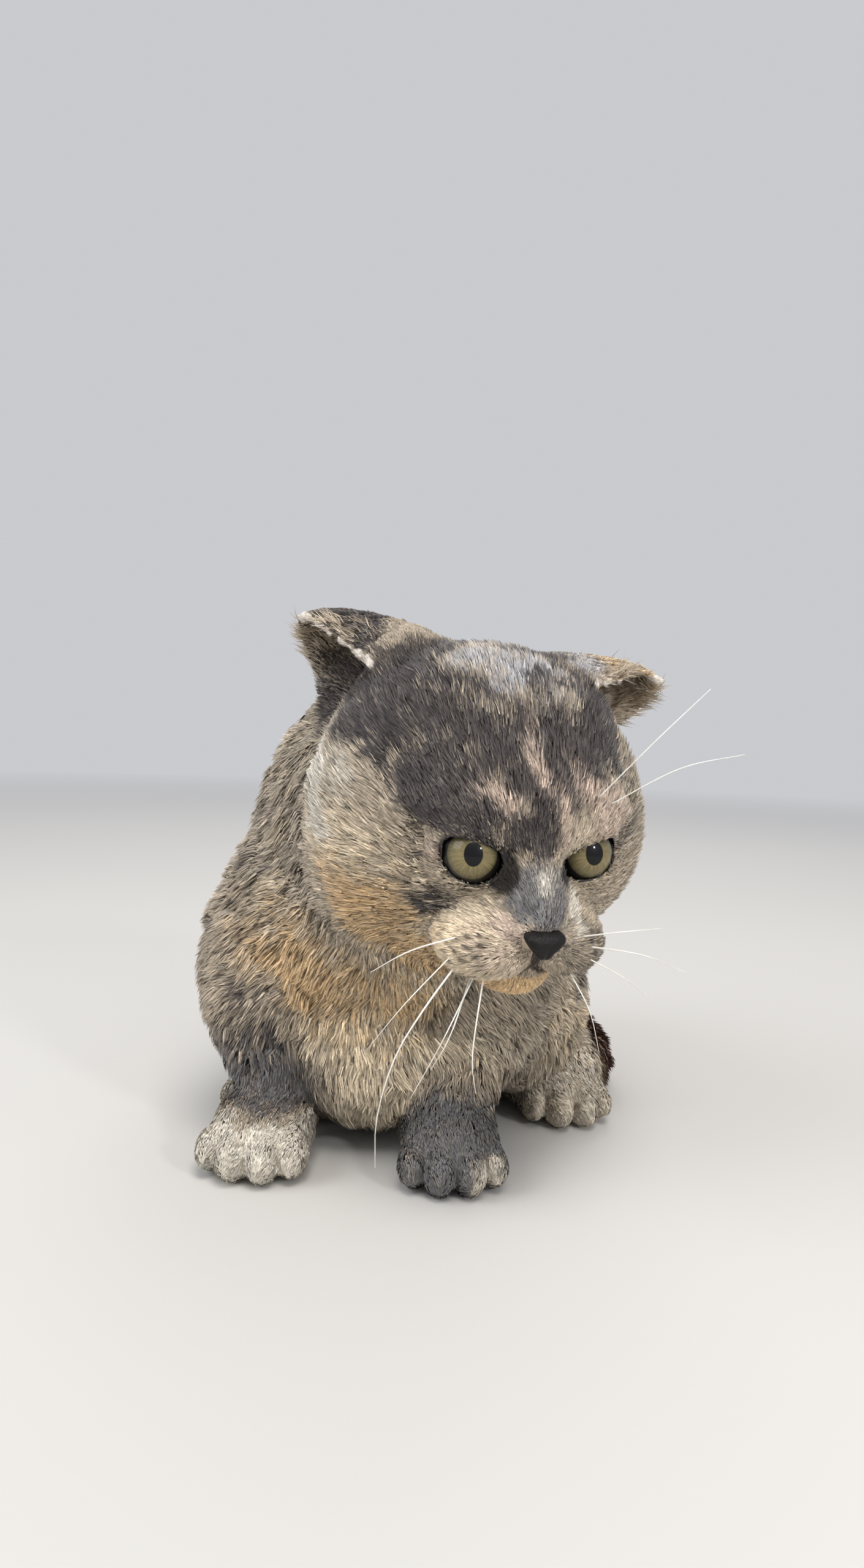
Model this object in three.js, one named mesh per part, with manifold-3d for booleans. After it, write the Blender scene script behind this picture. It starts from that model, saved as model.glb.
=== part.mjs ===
// Scottish Fold cat, crouching still model, life size, millimetres, +Z up, the face towards -Y.
// The outline of the coat is one smooth closed surface: a smooth union of named
// ellipsoids and round cones. It is meshed region by region, and thin cuts divide it into nodes.
import * as THREE from 'three';
import Module from 'manifold-3d';

const wasm = await Module();
wasm.setup();
const { Manifold, Mesh: SolidMesh } = wasm;

// ---------------------------------------------------------------- driving dimensions
const GAP = 0.3;                        // width of the thin cuts
const HEAD_AT = [18.5, 372, 139.5];     // centre of the skull
const HEAD_YAW = 19.5, HEAD_PITCH = 23; // degrees, turned to the cat's left and looking down
const EYE_R = 10.3;                     // eyeball radius
const EYE_AT = [40.5, 19.8, 3.6];       // forward, to the side, up, in the head's own frame
const NOSE_AT = [64.6, 0, -15.5], NOSE_SIZE = [4.2, 7.2, 4.6];
const FLOOR = 0;
const ORIGIN = [-2.1, 452.0];       // middle of the footprint, taken off every node

// coarse and fine cell sizes of the surface
const CELL = { face: 7.1, head: 13.2, neck: 14, trunk: 16.4, leg: 11.4, paw: 6.2 };

// ---------------------------------------------------------------- small vector tools
const D = Math.PI / 180;
const add = (a, b) => [a[0] + b[0], a[1] + b[1], a[2] + b[2]];
const sub = (a, b) => [a[0] - b[0], a[1] - b[1], a[2] - b[2]];
const mul = (a, s) => [a[0] * s, a[1] * s, a[2] * s];
const dot = (a, b) => a[0] * b[0] + a[1] * b[1] + a[2] * b[2];
const cross = (a, b) => [a[1] * b[2] - a[2] * b[1], a[2] * b[0] - a[0] * b[2], a[0] * b[1] - a[1] * b[0]];
const norm = (a) => mul(a, 1 / Math.hypot(a[0], a[1], a[2]));

// the head's own frame: forward, cat's left, up
const headForwardFlat = [Math.sin(HEAD_YAW * D), -Math.cos(HEAD_YAW * D), 0];
const HF = add(mul(headForwardFlat, Math.cos(HEAD_PITCH * D)), [0, 0, -Math.sin(HEAD_PITCH * D)]);
const HU = add(mul(headForwardFlat, Math.sin(HEAD_PITCH * D)), [0, 0, Math.cos(HEAD_PITCH * D)]);
const HL = cross(HU, HF);
const toHead = (p) => { const d = sub(p, HEAD_AT); return [dot(d, HF), dot(d, HL), dot(d, HU)]; };
const fromHead = (q) => add(HEAD_AT, add(add(mul(HF, q[0]), mul(HL, q[1])), mul(HU, q[2])));

// ---------------------------------------------------------------- named masses of the body
// ellipsoid: centre, radii, turn about Z, blend;  cone: ends, radii, blend
const ell = (name, c, r, turn, k) => ({ name, kind: 'ell', c, r, cs: Math.cos(turn[2] * D), sn: Math.sin(turn[2] * D), tilt: turn, k });
const con = (name, a, b, ra, rb, k) => ({ name, kind: 'con', a, b, ra, rb, k });

const TRUNK = [
  ell('chest', [-22, 424, 74], [57, 46, 60], [0, 0, 0], 0),
  ell('withers', [-12, 440, 116], [51, 52, 60], [0, 0, 0], 30),
  ell('barrel', [-9, 462, 80], [69, 66, 68], [0, 0, -8], 34),
  ell('rump', [3, 506, 66], [68, 60, 64], [0, 0, 0], 34),
  ell('bib', [-22, 398, 66], [34, 18, 38], [8, 0, 0], 22),
  ell('belly', [-18, 440, 36], [44, 56, 34], [0, 0, 0], 20),
  con('neck', [-14, 432, 126], [9, 388, 138], 50, 47, 26),
  ell('nape', [-26, 424, 140], [33, 34, 40], [0, 0, 0], 24),
  ell('ruff', [-17, 385, 90], [32, 25, 24], [0, 0, 0], 24),
];
const LEGS = [
  ell('shoulder right', [-60, 425, 70], [32, 36, 44], [0, 10, 0], 22),
  con('forearm right', [-61, 410, 50], [-58, 398, 22], 20.5, 14, 14),
  con('wrist right', [-58, 398, 22], [-61, 386, 13], 14, 13.5, 8),
  ell('shoulder left', [22, 426, 70], [30, 34, 42], [0, -10, 0], 22),
  con('forearm left', [17, 414, 48], [11, 394, 20], 21.5, 15, 14),
  con('wrist left', [11, 394, 20], [13, 382, 13], 15, 13.5, 8),
  ell('haunch left', [39, 468, 46], [33, 48, 44], [0, 0, 8], 20),
  ell('haunch right', [-54, 474, 50], [34, 50, 46], [0, 0, -8], 20),
];
// a paw: a low body and four rounded toes; x, y of the front of the toes, heading, width, length, height
function paw(name, x, y, heading, w, l, h) {
  const a = heading * D, fx = Math.sin(a), fy = -Math.cos(a), lx = Math.cos(a), ly = Math.sin(a);
  const P = (f, s, z) => [x + fx * f + lx * s, y + fy * f + ly * s, z];
  const out = [ell(name + ' pad', P(-0.52 * l, 0, 0.46 * h), [0.44 * w, 0.44 * l, 0.52 * h], [0, 0, heading], 8)];
  for (const [s, f, k] of PAW_TOES) {
    out.push(ell(name + ' toe', P(f * l, s * w, 0.34 * h), [0.155 * w * k + 0.6, 0.24 * l, 0.36 * h * k], [0, 0, heading + 30 * s], 2.5));
  }
  return out;
}
// across (in widths), along (in lengths), size
const PAW_TOES = [[-0.335, -0.30, 0.88], [-0.125, -0.19, 1], [0.125, -0.19, 1], [0.335, -0.30, 0.9]];
const FEET = [
  ...paw('paw right', -63, 362, -8, 43, 50, 27), ...paw('paw left', 13.5, 357, 6, 41, 50, 26),
  ...paw('hind paw left', 65, 427, 14, 40, 58, 26), ...paw('hind paw right', -67, 420, -10, 40, 58, 26),
  con('hock left', [66, 462, 17], [60, 484, 22], 14, 17, 12),
  con('hock right', [-66, 458, 17], [-62, 484, 22], 14, 17, 12),
];
const HEAD = [
  ell('skull', [-6, 0, 8], [50, 53, 48], [0, 0, 0], 14),
  ell('cheek left', [2, 33, -9], [35, 26, 35], [0, 0, 0], 16),
  ell('cheek right', [2, -33, -9], [35, 26, 35], [0, 0, 0], 16),
  ell('forehead', [28, 0, 13], [19, 36, 20], [0, 0, 0], 14),
  ell('face', [30, 0, -12], [22, 38, 26], [0, 0, 0], 12),
  ell('brow left', [35, 21, 15], [10, 14, 8], [0, 0, 0], 8),
  ell('brow right', [35, -21, 15], [10, 14, 8], [0, 0, 0], 8),
  con('nose bridge', [36, 0, 8], [58, 0, -12], 13, 9, 10),
  ell('whisker pad left', [48.5, 13.2, -23.5], [16, 16.5, 12], [0, 0, 0], 5),
  ell('whisker pad right', [48.5, -13.2, -23.5], [16, 16.5, 12], [0, 0, 0], 5),
  ell('muzzle', [42, 0, -20], [21, 24, 17], [0, 0, 0], 8),
  ell('chin', [45, 0, -35], [14, 13, 9], [0, 0, 0], 6),
  ell('jaw', [24, 0, -28], [28, 28, 18], [0, 0, 0], 12),
];
const LID = { thick: 2.7, k: 6, width: 9.4, up: 5.8, down: 8.2, slant: 0.13 };   // coat over each eyeball, and the opening between the lids

// ---------------------------------------------------------------- distance functions
function rotation(t) { // Rz * Ry * Rx
  const [a, b, c] = t.map((v) => v * D), m = new THREE.Matrix4();
  m.makeRotationFromEuler(new THREE.Euler(a, b, c, 'ZYX'));
  const e = m.elements;
  return [[e[0], e[4], e[8]], [e[1], e[5], e[9]], [e[2], e[6], e[10]]];
}
for (const s of [...TRUNK, ...LEGS, ...FEET, ...HEAD]) if (s.kind === 'ell') s.m = rotation(s.tilt);
function dEll(s, p) {
  const d = sub(p, s.c), m = s.m;
  const x = (d[0] * m[0][0] + d[1] * m[1][0] + d[2] * m[2][0]) / s.r[0];
  const y = (d[0] * m[0][1] + d[1] * m[1][1] + d[2] * m[2][1]) / s.r[1];
  const z = (d[0] * m[0][2] + d[1] * m[1][2] + d[2] * m[2][2]) / s.r[2];
  const k0 = Math.hypot(x, y, z), k1 = Math.hypot(x / s.r[0], y / s.r[1], z / s.r[2]);
  return k1 < 1e-9 ? -Math.min(...s.r) : k0 * (k0 - 1) / k1;
}
function dCon(s, p) {
  const ab = sub(s.b, s.a), ap = sub(p, s.a);
  const t = Math.min(1, Math.max(0, dot(ap, ab) / dot(ab, ab)));
  return Math.hypot(...sub(ap, mul(ab, t))) - (s.ra + (s.rb - s.ra) * t);
}
const dist = (s, p) => (s.kind === 'ell' ? dEll(s, p) : dCon(s, p));
const smin = (a, b, k) => { if (k <= 0) return Math.min(a, b); const h = Math.max(k - Math.abs(a - b), 0) / k; return Math.min(a, b) - h * h * k / 4; };
function joined(list, p) { let v = dist(list[0], p); for (let i = 1; i < list.length; i++) v = smin(v, dist(list[i], p), list[i].k); return v; }
function cat(p) {
  const body = joined([...TRUNK, ...LEGS, ...FEET], p);
  const q = toHead(p);
  let head = joined(HEAD, q);
  for (const side of [1, -1]) {
    head = smin(head, Math.hypot(...sub(q, [EYE_AT[0], side * EYE_AT[1], EYE_AT[2]])) - EYE_R - LID.thick, LID.k);
  }
  return smin(body, head, 28);
}

// ---------------------------------------------------------------- meshing a distance function
// one vertex in every cell that the surface crosses, drawn onto the surface, one quad per crossed edge
function surface(lo, hi, h) {
  const n = [0, 1, 2].map((i) => Math.ceil((hi[i] - lo[i]) / h) + 4);
  const o = lo.map((v) => v - 2 * h);
  const box = (p) => Math.max(...[0, 1, 2].map((i) => Math.max(lo[i] - p[i], p[i] - hi[i])));
  const f = (p) => Math.max(cat(p), box(p));
  const at = (i, j, k) => (k * n[1] + j) * n[0] + i;
  const val = new Float64Array(n[0] * n[1] * n[2]);
  for (let k = 0; k < n[2]; k++) for (let j = 0; j < n[1]; j++) for (let i = 0; i < n[0]; i++)
    val[at(i, j, k)] = f([o[0] + i * h, o[1] + j * h, o[2] + k * h]);
  const cell = new Int32Array(val.length).fill(-1), pts = [];
  for (let k = 0; k < n[2] - 1; k++) for (let j = 0; j < n[1] - 1; j++) for (let i = 0; i < n[0] - 1; i++) {
    let s = [0, 0, 0], c = 0;
    for (let e = 0; e < 12; e++) {
      const ax = e >> 2, b1 = e & 1, b2 = (e >> 1) & 1, A = [0, 0, 0];
      A[(ax + 1) % 3] = b1; A[(ax + 2) % 3] = b2;
      const B = [...A]; B[ax] = 1;
      const va = val[at(i + A[0], j + A[1], k + A[2])], vb = val[at(i + B[0], j + B[1], k + B[2])];
      if ((va < 0) === (vb < 0)) continue;
      const t = va / (va - vb);
      for (let q = 0; q < 3; q++) s[q] += A[q] + (B[q] - A[q]) * t;
      c++;
    }
    if (!c) continue;
    let p = [o[0] + (i + s[0] / c) * h, o[1] + (j + s[1] / c) * h, o[2] + (k + s[2] / c) * h];
    for (let it = 0; it < 2; it++) {
      const v = cat(p);
      if (v < box(p) + h) break;
      const e = 0.4, g = [0, 1, 2].map((q) => { const a = [...p], b = [...p]; a[q] += e; b[q] -= e; return (cat(a) - cat(b)) / (2 * e); });
      const gg = dot(g, g); if (gg < 0.05) break;
      const step = Math.max(-0.35 * h, Math.min(0.35 * h, v / gg));
      p = sub(p, mul(g, step));
    }
    cell[at(i, j, k)] = pts.length / 3; pts.push(...p);
  }
  const tri = [];
  const P = (v) => pts.slice(3 * v, 3 * v + 3);
  const quad = (a, b, c, d) => {
    if (Math.hypot(...sub(P(a), P(c))) < Math.hypot(...sub(P(b), P(d)))) tri.push(a, b, c, a, c, d); else tri.push(a, b, d, b, c, d);
  };
  for (let k = 1; k < n[2] - 1; k++) for (let j = 1; j < n[1] - 1; j++) for (let i = 1; i < n[0] - 1; i++) for (let ax = 0; ax < 3; ax++) {
    const B = [i, j, k]; B[ax]++;
    const va = val[at(i, j, k)], vb = val[at(...B)];
    if ((va < 0) === (vb < 0)) continue;
    const u = [0, 0, 0], w = [0, 0, 0]; u[(ax + 1) % 3] = 1; w[(ax + 2) % 3] = 1;
    const C = (x, y) => cell[at(i - x * u[0] - y * w[0], j - x * u[1] - y * w[1], k - x * u[2] - y * w[2])];
    const q = [C(1, 1), C(0, 1), C(0, 0), C(1, 0)];
    if (va < 0) quad(...q); else quad(q[3], q[2], q[1], q[0]);
  }
  return solidOf(pts, tri);
}
function solidOf(pts, tri) { // the faces turned outward
  const make = (t) => new Manifold(new SolidMesh({ numProp: 3, vertProperties: new Float32Array(pts), triVerts: new Uint32Array(t) }));
  const s = make(tri);
  return s.volume() >= 0 ? s : make(tri.map((_, i) => tri[i - (i % 3) + [0, 2, 1][i % 3]]));
}

// ---------------------------------------------------------------- solids from the stock shapes
function fromGeometry(geometry) {
  const pos = geometry.attributes.position, idx = geometry.index, pts = [], key = new Map(), map = [];
  for (let i = 0; i < pos.count; i++) {
    const p = [pos.getX(i), pos.getY(i), pos.getZ(i)], s = p.map((v) => Math.round(v * 1e4)).join();
    if (!key.has(s)) { key.set(s, pts.length / 3); pts.push(...p); }
    map.push(key.get(s));
  }
  const tri = [], count = idx ? idx.count : pos.count;
  for (let i = 0; i < count; i += 3) {
    const t = [0, 1, 2].map((j) => map[idx ? idx.getX(i + j) : i + j]);
    if (t[0] !== t[1] && t[1] !== t[2] && t[2] !== t[0]) tri.push(...t);
  }
  return solidOf(pts, tri);
}
function block(lo, hi) {
  const g = new THREE.BoxGeometry(hi[0] - lo[0], hi[1] - lo[1], hi[2] - lo[2]);
  g.translate((lo[0] + hi[0]) / 2, (lo[1] + hi[1]) / 2, (lo[2] + hi[2]) / 2);
  return fromGeometry(g);
}
const FAR = 900;
// everything on one side of a slanting plane, moved out by a distance
function side(point, direction, grow) {
  const nrm = norm(direction), g = new THREE.BoxGeometry(2 * FAR, 2 * FAR, 2 * FAR);
  g.applyQuaternion(new THREE.Quaternion().setFromUnitVectors(new THREE.Vector3(0, 0, 1), new THREE.Vector3(...nrm)));
  const c = add(point, mul(nrm, FAR - grow));
  g.translate(...c);
  return fromGeometry(g);
}
function ball(centre, radii, around, down, frame) {
  const g = new THREE.SphereGeometry(1, around, down), m = new THREE.Matrix4();
  m.makeBasis(new THREE.Vector3(...frame[0]).multiplyScalar(radii[0]), new THREE.Vector3(...frame[1]).multiplyScalar(radii[1]), new THREE.Vector3(...frame[2]).multiplyScalar(radii[2]));
  g.applyMatrix4(m); g.translate(...centre);
  return fromGeometry(g);
}

// ---------------------------------------------------------------- the tail, a tapering tube on a curve
const TAIL_LINE = [[-14, 538, 44], [-4, 560, 26], [20, 571, 16], [47, 559, 15.5], [66, 536, 15.2], [74, 508, 15.2], [75, 482, 14.2], [70, 462, 12.6]];
const TAIL_RADIUS = [24, 20, 16.5, 15.6, 15.3, 15.2, 14.0, 11.0];
const TAIL_RINGS = 20, TAIL_SIDES = 12;
function tail(grow) {
  const curve = new THREE.CatmullRomCurve3(TAIL_LINE.map((p) => new THREE.Vector3(...p)));
  const radius = (u) => { const x = u * (TAIL_RADIUS.length - 1), i = Math.min(Math.floor(x), TAIL_RADIUS.length - 2); return TAIL_RADIUS[i] + (TAIL_RADIUS[i + 1] - TAIL_RADIUS[i]) * (x - i); };
  const rings = [];
  const ring = (c, t, r) => {
    const s = norm(cross([0, 0, 1], t)), up = cross(t, s);
    rings.push(Array.from({ length: TAIL_SIDES }, (_, j) => { const a = 2 * Math.PI * j / TAIL_SIDES; return add(c, add(mul(s, r * Math.cos(a)), mul(up, r * Math.sin(a)))); }));
  };
  const V = (v) => [v.x, v.y, v.z];
  const start = V(curve.getPoint(0)), t0 = V(curve.getTangent(0));
  for (let i = 0; i <= TAIL_RINGS; i++) { const u = i / TAIL_RINGS; ring(V(curve.getPoint(u)), V(curve.getTangent(u)), radius(u) + grow); }
  const end = V(curve.getPoint(1)), t1 = V(curve.getTangent(1)), r1 = TAIL_RADIUS.at(-1) + grow;
  for (const a of [30, 58]) ring(add(end, mul(t1, r1 * Math.sin(a * D))), t1, r1 * Math.cos(a * D));
  const pts = rings.flat(2), tri = [], N = TAIL_SIDES;
  for (let i = 0; i + 1 < rings.length; i++) for (let j = 0; j < N; j++) {
    const a = i * N + j, b = i * N + (j + 1) % N, c = a + N, d = b + N;
    tri.push(a, b, d, a, d, c);
  }
  const first = pts.length / 3; pts.push(...sub(start, mul(t0, grow)));
  const last = first + 1; pts.push(...add(end, mul(t1, r1)));
  const z = (rings.length - 1) * N;
  for (let j = 0; j < N; j++) { tri.push(first, (j + 1) % N, j); tri.push(last, z + j, z + (j + 1) % N); }
  return solidOf(pts, tri);
}

// ---------------------------------------------------------------- the half-folded ears
// a hood: an arched wall over a hollow that opens forward and down, running out to a soft point
const EAR = {
  right: { base: [-15, 387, 185.5], tip: [-52, 397, 206], back: [0.5, -0.05, 0.86], wide: 22, high: 18, from: -7 },
  left: { base: [49, 389, 179], tip: [85.5, 400.3, 186.5], back: [-0.22, -0.05, 0.97], wide: 21, high: 15.5, from: 6 },
};
const EAR_WALL = 4.0, EAR_ROOT = -0.28, EAR_STEPS = 8, EAR_ARCH = 8;
const EAR_TO = 214;     // degrees round the arch, from each ear's front margin to the rear one
function ear(e, grow) {
  const axis = sub(e.tip, e.base), L = Math.hypot(...axis), e1 = norm(axis);
  const n = norm(sub(e.back, mul(e1, dot(e.back, e1))));
  let w = cross(n, e1); if (w[1] > 0) w = mul(w, -1);
  // the front margin runs straight to the tip, the rear wall stays deep and ends blunt
  const shape = (t, arc) => {
    const x = Math.min(1, Math.max(0, (arc / D - 60) / 120)), rear = x * x * (3 - 2 * x);
    if (t < 0) return Math.sqrt(Math.max(0, 1 - (t / 0.5) ** 2));
    return Math.max(0, 1 - Math.min(1, t) ** (1 + 3 * rear)) ** (0.8 - 0.25 * rear);
  };
  const section = (t, inset, arc) => {
    const f = shape(t, arc), low = arc > Math.PI ? 1 + 0.6 * Math.min(1, (arc - Math.PI) / 0.3) : 1;
    const hw = Math.max(0.8, e.wide * f + 2.2 - inset), hs = Math.max(0.6, e.high * f + 2.0 - inset) * low;
    const c = add(e.base, mul(e1, t * L));
    return add(c, add(mul(w, hw * Math.cos(arc)), mul(n, hs * Math.sin(arc))));
  };
  const grid = (inset, t0, t1, a0, a1) => Array.from({ length: EAR_STEPS + 1 }, (_, i) => Array.from({ length: EAR_ARCH + 1 }, (_, j) =>
    section(t0 + (t1 - t0) * i / EAR_STEPS, inset, a0 + (a1 - a0) * j / EAR_ARCH)));
  const pad = grow / 12;
  const outer = grid(-grow, EAR_ROOT, 1 + grow / L, e.from * D - pad, EAR_TO * D + pad), inner = grid(EAR_WALL + grow, EAR_ROOT, 0.9, e.from * D - pad, EAR_TO * D + pad);
  const pts = [...outer.flat(2), ...inner.flat(2)], M = EAR_ARCH + 1, off = (EAR_STEPS + 1) * M, tri = [];
  const q = (a, b, c, d) => tri.push(a, b, c, a, c, d);
  for (let i = 0; i < EAR_STEPS; i++) for (let j = 0; j < EAR_ARCH; j++) {
    const a = i * M + j; q(a, a + 1, a + M + 1, a + M); q(off + a, off + a + M, off + a + M + 1, off + a + 1);
  }
  for (let i = 0; i < EAR_STEPS; i++) {
    const a = i * M, b = a + EAR_ARCH;
    q(a, a + M, off + a + M, off + a); q(b, off + b, off + b + M, b + M);
  }
  for (let j = 0; j < EAR_ARCH; j++) {
    q(j, off + j, off + j + 1, j + 1);
    const a = EAR_STEPS * M + j; q(a, a + 1, off + a + 1, off + a);
  }
  return solidOf(pts, tri);
}

// ---------------------------------------------------------------- the regions the body is divided into
const REGION = {
  face: (g) => side(fromHead([14, 0, 0]), HF, g).intersect(side([0, 375, 90], [0, -0.894, 0.447], g)).intersect(side([0, 0, 62], [0, 0, 1], g)),
  head: (g) => side([0, 375, 90], [0, -0.894, 0.447], g).intersect(side([0, 0, 62], [0, 0, 1], g)),
  neck: (g) => side([0, 388, 86], [0, -0.74, 0.67], g).intersect(side([0, 0, 62], [0, 0, 1], g)),
  paw_front_right: (g) => block([-130 - g, 300 - g, -20 - g], [-37 + g, 400 + g, 24 + g]),
  foreleg_right: (g) => block([-130 - g, 300 - g, -20 - g], [-37 + g, 428 + g, 62 - GAP]),
  paw_front_left: (g) => block([-12 - g, 300 - g, -20 - g], [44 + g, 400 + g, 23 + g]),
  foreleg_left: (g) => block([-12 - g, 300 - g, -20 - g], [44 + g, 418 + g, 56 + g]),
  paw_hind_left: (g) => block([44 - g, 370 - g, -20 - g], [130 + g, 470 + g, 27 + g]),
  thigh_left: (g) => block([30 - g, 424 - g, -20 - g], [130 + g, 512 + g, 84 + g]),
  paw_hind_right: (g) => block([-130 - g, 370 - g, -20 - g], [-46 + g, 462 + g, 27 + g]),
  thigh_right: (g) => block([-130 - g, 428 - g, -20 - g], [-44 + g, 520 + g, 88 + g]),
  rump: (g) => block([-130 - g, 474 - g, -20 - g], [130 + g, 640 + g, 240 + g]),
  trunk: (g) => block([-130, 300, -20], [130, 640, 240]),
};
const BOUNDS = { // where the surface is meshed for each region, and how finely
  face: [[-60, 290, 62], [100, 400, 200], CELL.face],
  head: [[-80, 290, 62], [100, 450, 210], CELL.head],
  neck: [[-90, 340, 62], [90, 480, 210], CELL.neck],
  paw_front_right: [[-100, 325, 0], [-37, 400, 24], CELL.paw],
  foreleg_right: [[-110, 340, 0], [-37, 428, 62], CELL.leg],
  paw_front_left: [[-12, 315, 0], [44, 400, 23], CELL.paw],
  foreleg_left: [[-12, 340, 0], [44, 418, 56], CELL.leg],
  paw_hind_left: [[44, 385, 0], [110, 470, 27], CELL.paw],
  thigh_left: [[30, 424, 0], [110, 512, 84], CELL.leg],
  paw_hind_right: [[-110, 385, 0], [-46, 462, 27], CELL.paw],
  thigh_right: [[-110, 428, 0], [-44, 520, 88], CELL.leg],
  rump: [[-110, 474, 0], [110, 600, 190], CELL.trunk],
  trunk: [[-110, 340, 0], [110, 474, 200], CELL.trunk],
};
// vertices nearer than a small distance drawn together, so that no sliver is left along a cut
function tidy(solid) {
  for (const near of [0.45, 0.25, 0.1, 0.04, 0.01]) {
    const m = solid.getMesh(), N = m.numVert, up = Array.from({ length: N }, (_, i) => i);
    const find = (i) => { while (up[i] !== i) i = up[i]; return i; };
    const P = (i) => [0, 1, 2].map((k) => m.vertProperties[i * m.numProp + k]);
    for (let i = 0; i < m.triVerts.length; i += 3) for (let e = 0; e < 3; e++) {
      const a = find(m.triVerts[i + e]), b = find(m.triVerts[i + (e + 1) % 3]);
      if (a !== b && Math.hypot(...sub(P(a), P(b))) < near) up[Math.max(a, b)] = Math.min(a, b);
    }
    const pts = [], id = new Map(), tri = [], seen = new Map();
    for (let i = 0; i < m.triVerts.length; i += 3) {
      const t = [0, 1, 2].map((j) => find(m.triVerts[i + j]));
      if (t[0] === t[1] || t[1] === t[2] || t[2] === t[0]) continue;
      const k = [...t].sort((a, b) => a - b).join();
      seen.set(k, [...(seen.get(k) || []), t]);
    }
    for (const list of seen.values()) if (list.length === 1) for (const v of list[0]) {
      if (!id.has(v)) { id.set(v, pts.length / 3); pts.push(...P(v)); }
      tri.push(id.get(v));
    }
    try {
      const s = solidOf(pts, tri);
      if (s.status() === 'NoError' && s.volume() > 0.999 * solid.volume() && s.decompose().length === 1) return s;
    } catch { /* a closer distance is tried */ }
  }
  return solid;
}
const largest = (s) => { const parts = s.decompose(); return parts.reduce((a, b) => (a.volume() > b.volume() ? a : b)); };

// ---------------------------------------------------------------- assembly
const FRAME_OF_HEAD = [HF, HL, HU];
const eyeAt = (s) => fromHead([EYE_AT[0], s * EYE_AT[1], EYE_AT[2]]);
const ears = { left: (g) => ear(EAR.left, g), right: (g) => ear(EAR.right, g) };
const eyes = { left: (g) => ball(eyeAt(1), [EYE_R + g, EYE_R + g, EYE_R + g], 16, 9, FRAME_OF_HEAD), right: (g) => ball(eyeAt(-1), [EYE_R + g, EYE_R + g, EYE_R + g], 16, 9, FRAME_OF_HEAD) };
// the opening between the lids, a tapering slot along the line the lids open on
const lidOpening = (s) => {
  const yaw = (s > 0 ? 16 : 1) * D, down = 5 * D;
  const z = [Math.sin(yaw) * Math.cos(down), -Math.cos(yaw) * Math.cos(down), -Math.sin(down)];
  const x = norm(cross([0, 0, 1], z)), y = cross(z, x), inner = -s, N = 14, pts = [], tri = [];
  for (const [ahead, k] of [[2, 1], [30, 1.05]]) for (let i = 0; i < N; i++) {
    const a = 2 * Math.PI * i / N, u = Math.cos(a) * LID.width, v = Math.sin(a) * (Math.sin(a) > 0 ? LID.up : LID.down) - LID.slant * u * inner;
    pts.push(...add(eyeAt(s), add(mul(z, ahead), add(mul(x, u * k), mul(y, v * k)))));
  }
  for (let i = 0; i < N; i++) { const j = (i + 1) % N; tri.push(i, j, N + j, i, N + j, N + i); }
  for (let i = 1; i + 1 < N; i++) { tri.push(0, i + 1, i); tri.push(N, N + i, N + i + 1); }
  return solidOf(pts, tri);
};
const nose = (g) => ball(fromHead(NOSE_AT), NOSE_SIZE.map((v) => v + g), 12, 7, FRAME_OF_HEAD);
const aboveFloor = side([0, 0, FLOOR], [0, 0, 1], 0);
const clear = { tail: tail(GAP), earLeft: ears.left(GAP), earRight: ears.right(GAP), eyeLeft: eyes.left(GAP), eyeRight: eyes.right(GAP), nose: nose(GAP), lidsLeft: lidOpening(1), lidsRight: lidOpening(-1) };

const solids = {};
const taken = [];
for (const name of Object.keys(REGION)) {
  const [lo, hi, h] = BOUNDS[name];
  const room = 2.2 * h;
  let s = surface(lo.map((v) => v - room), hi.map((v) => v + room), h).intersect(REGION[name](0));
  for (const r of taken) s = s.subtract(r);
  for (const c of Object.values(clear)) s = s.subtract(c);
  solids[name] = largest(s.intersect(aboveFloor));
  taken.push(REGION[name](GAP));
}
const rootOfTail = tail(0).intersect(aboveFloor);
solids.tail_base = largest(rootOfTail.intersect(side([12, 0, 0], [-1, 0, 0], 0)));
solids.tail_middle = largest(rootOfTail.intersect(side([12, 0, 0], [1, 0, 0], -GAP)).intersect(side([0, 524, 0], [0, 1, 0], 0)));
solids.tail_tip = largest(rootOfTail.intersect(side([0, 524, 0], [0, -1, 0], -GAP)).intersect(side([12, 0, 0], [1, 0, 0], -GAP)));
solids.ear_left = ears.left(0);
solids.ear_right = ears.right(0);
solids.eye_left = eyes.left(0);
solids.eye_right = eyes.right(0);
solids.nose = nose(0);

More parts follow.
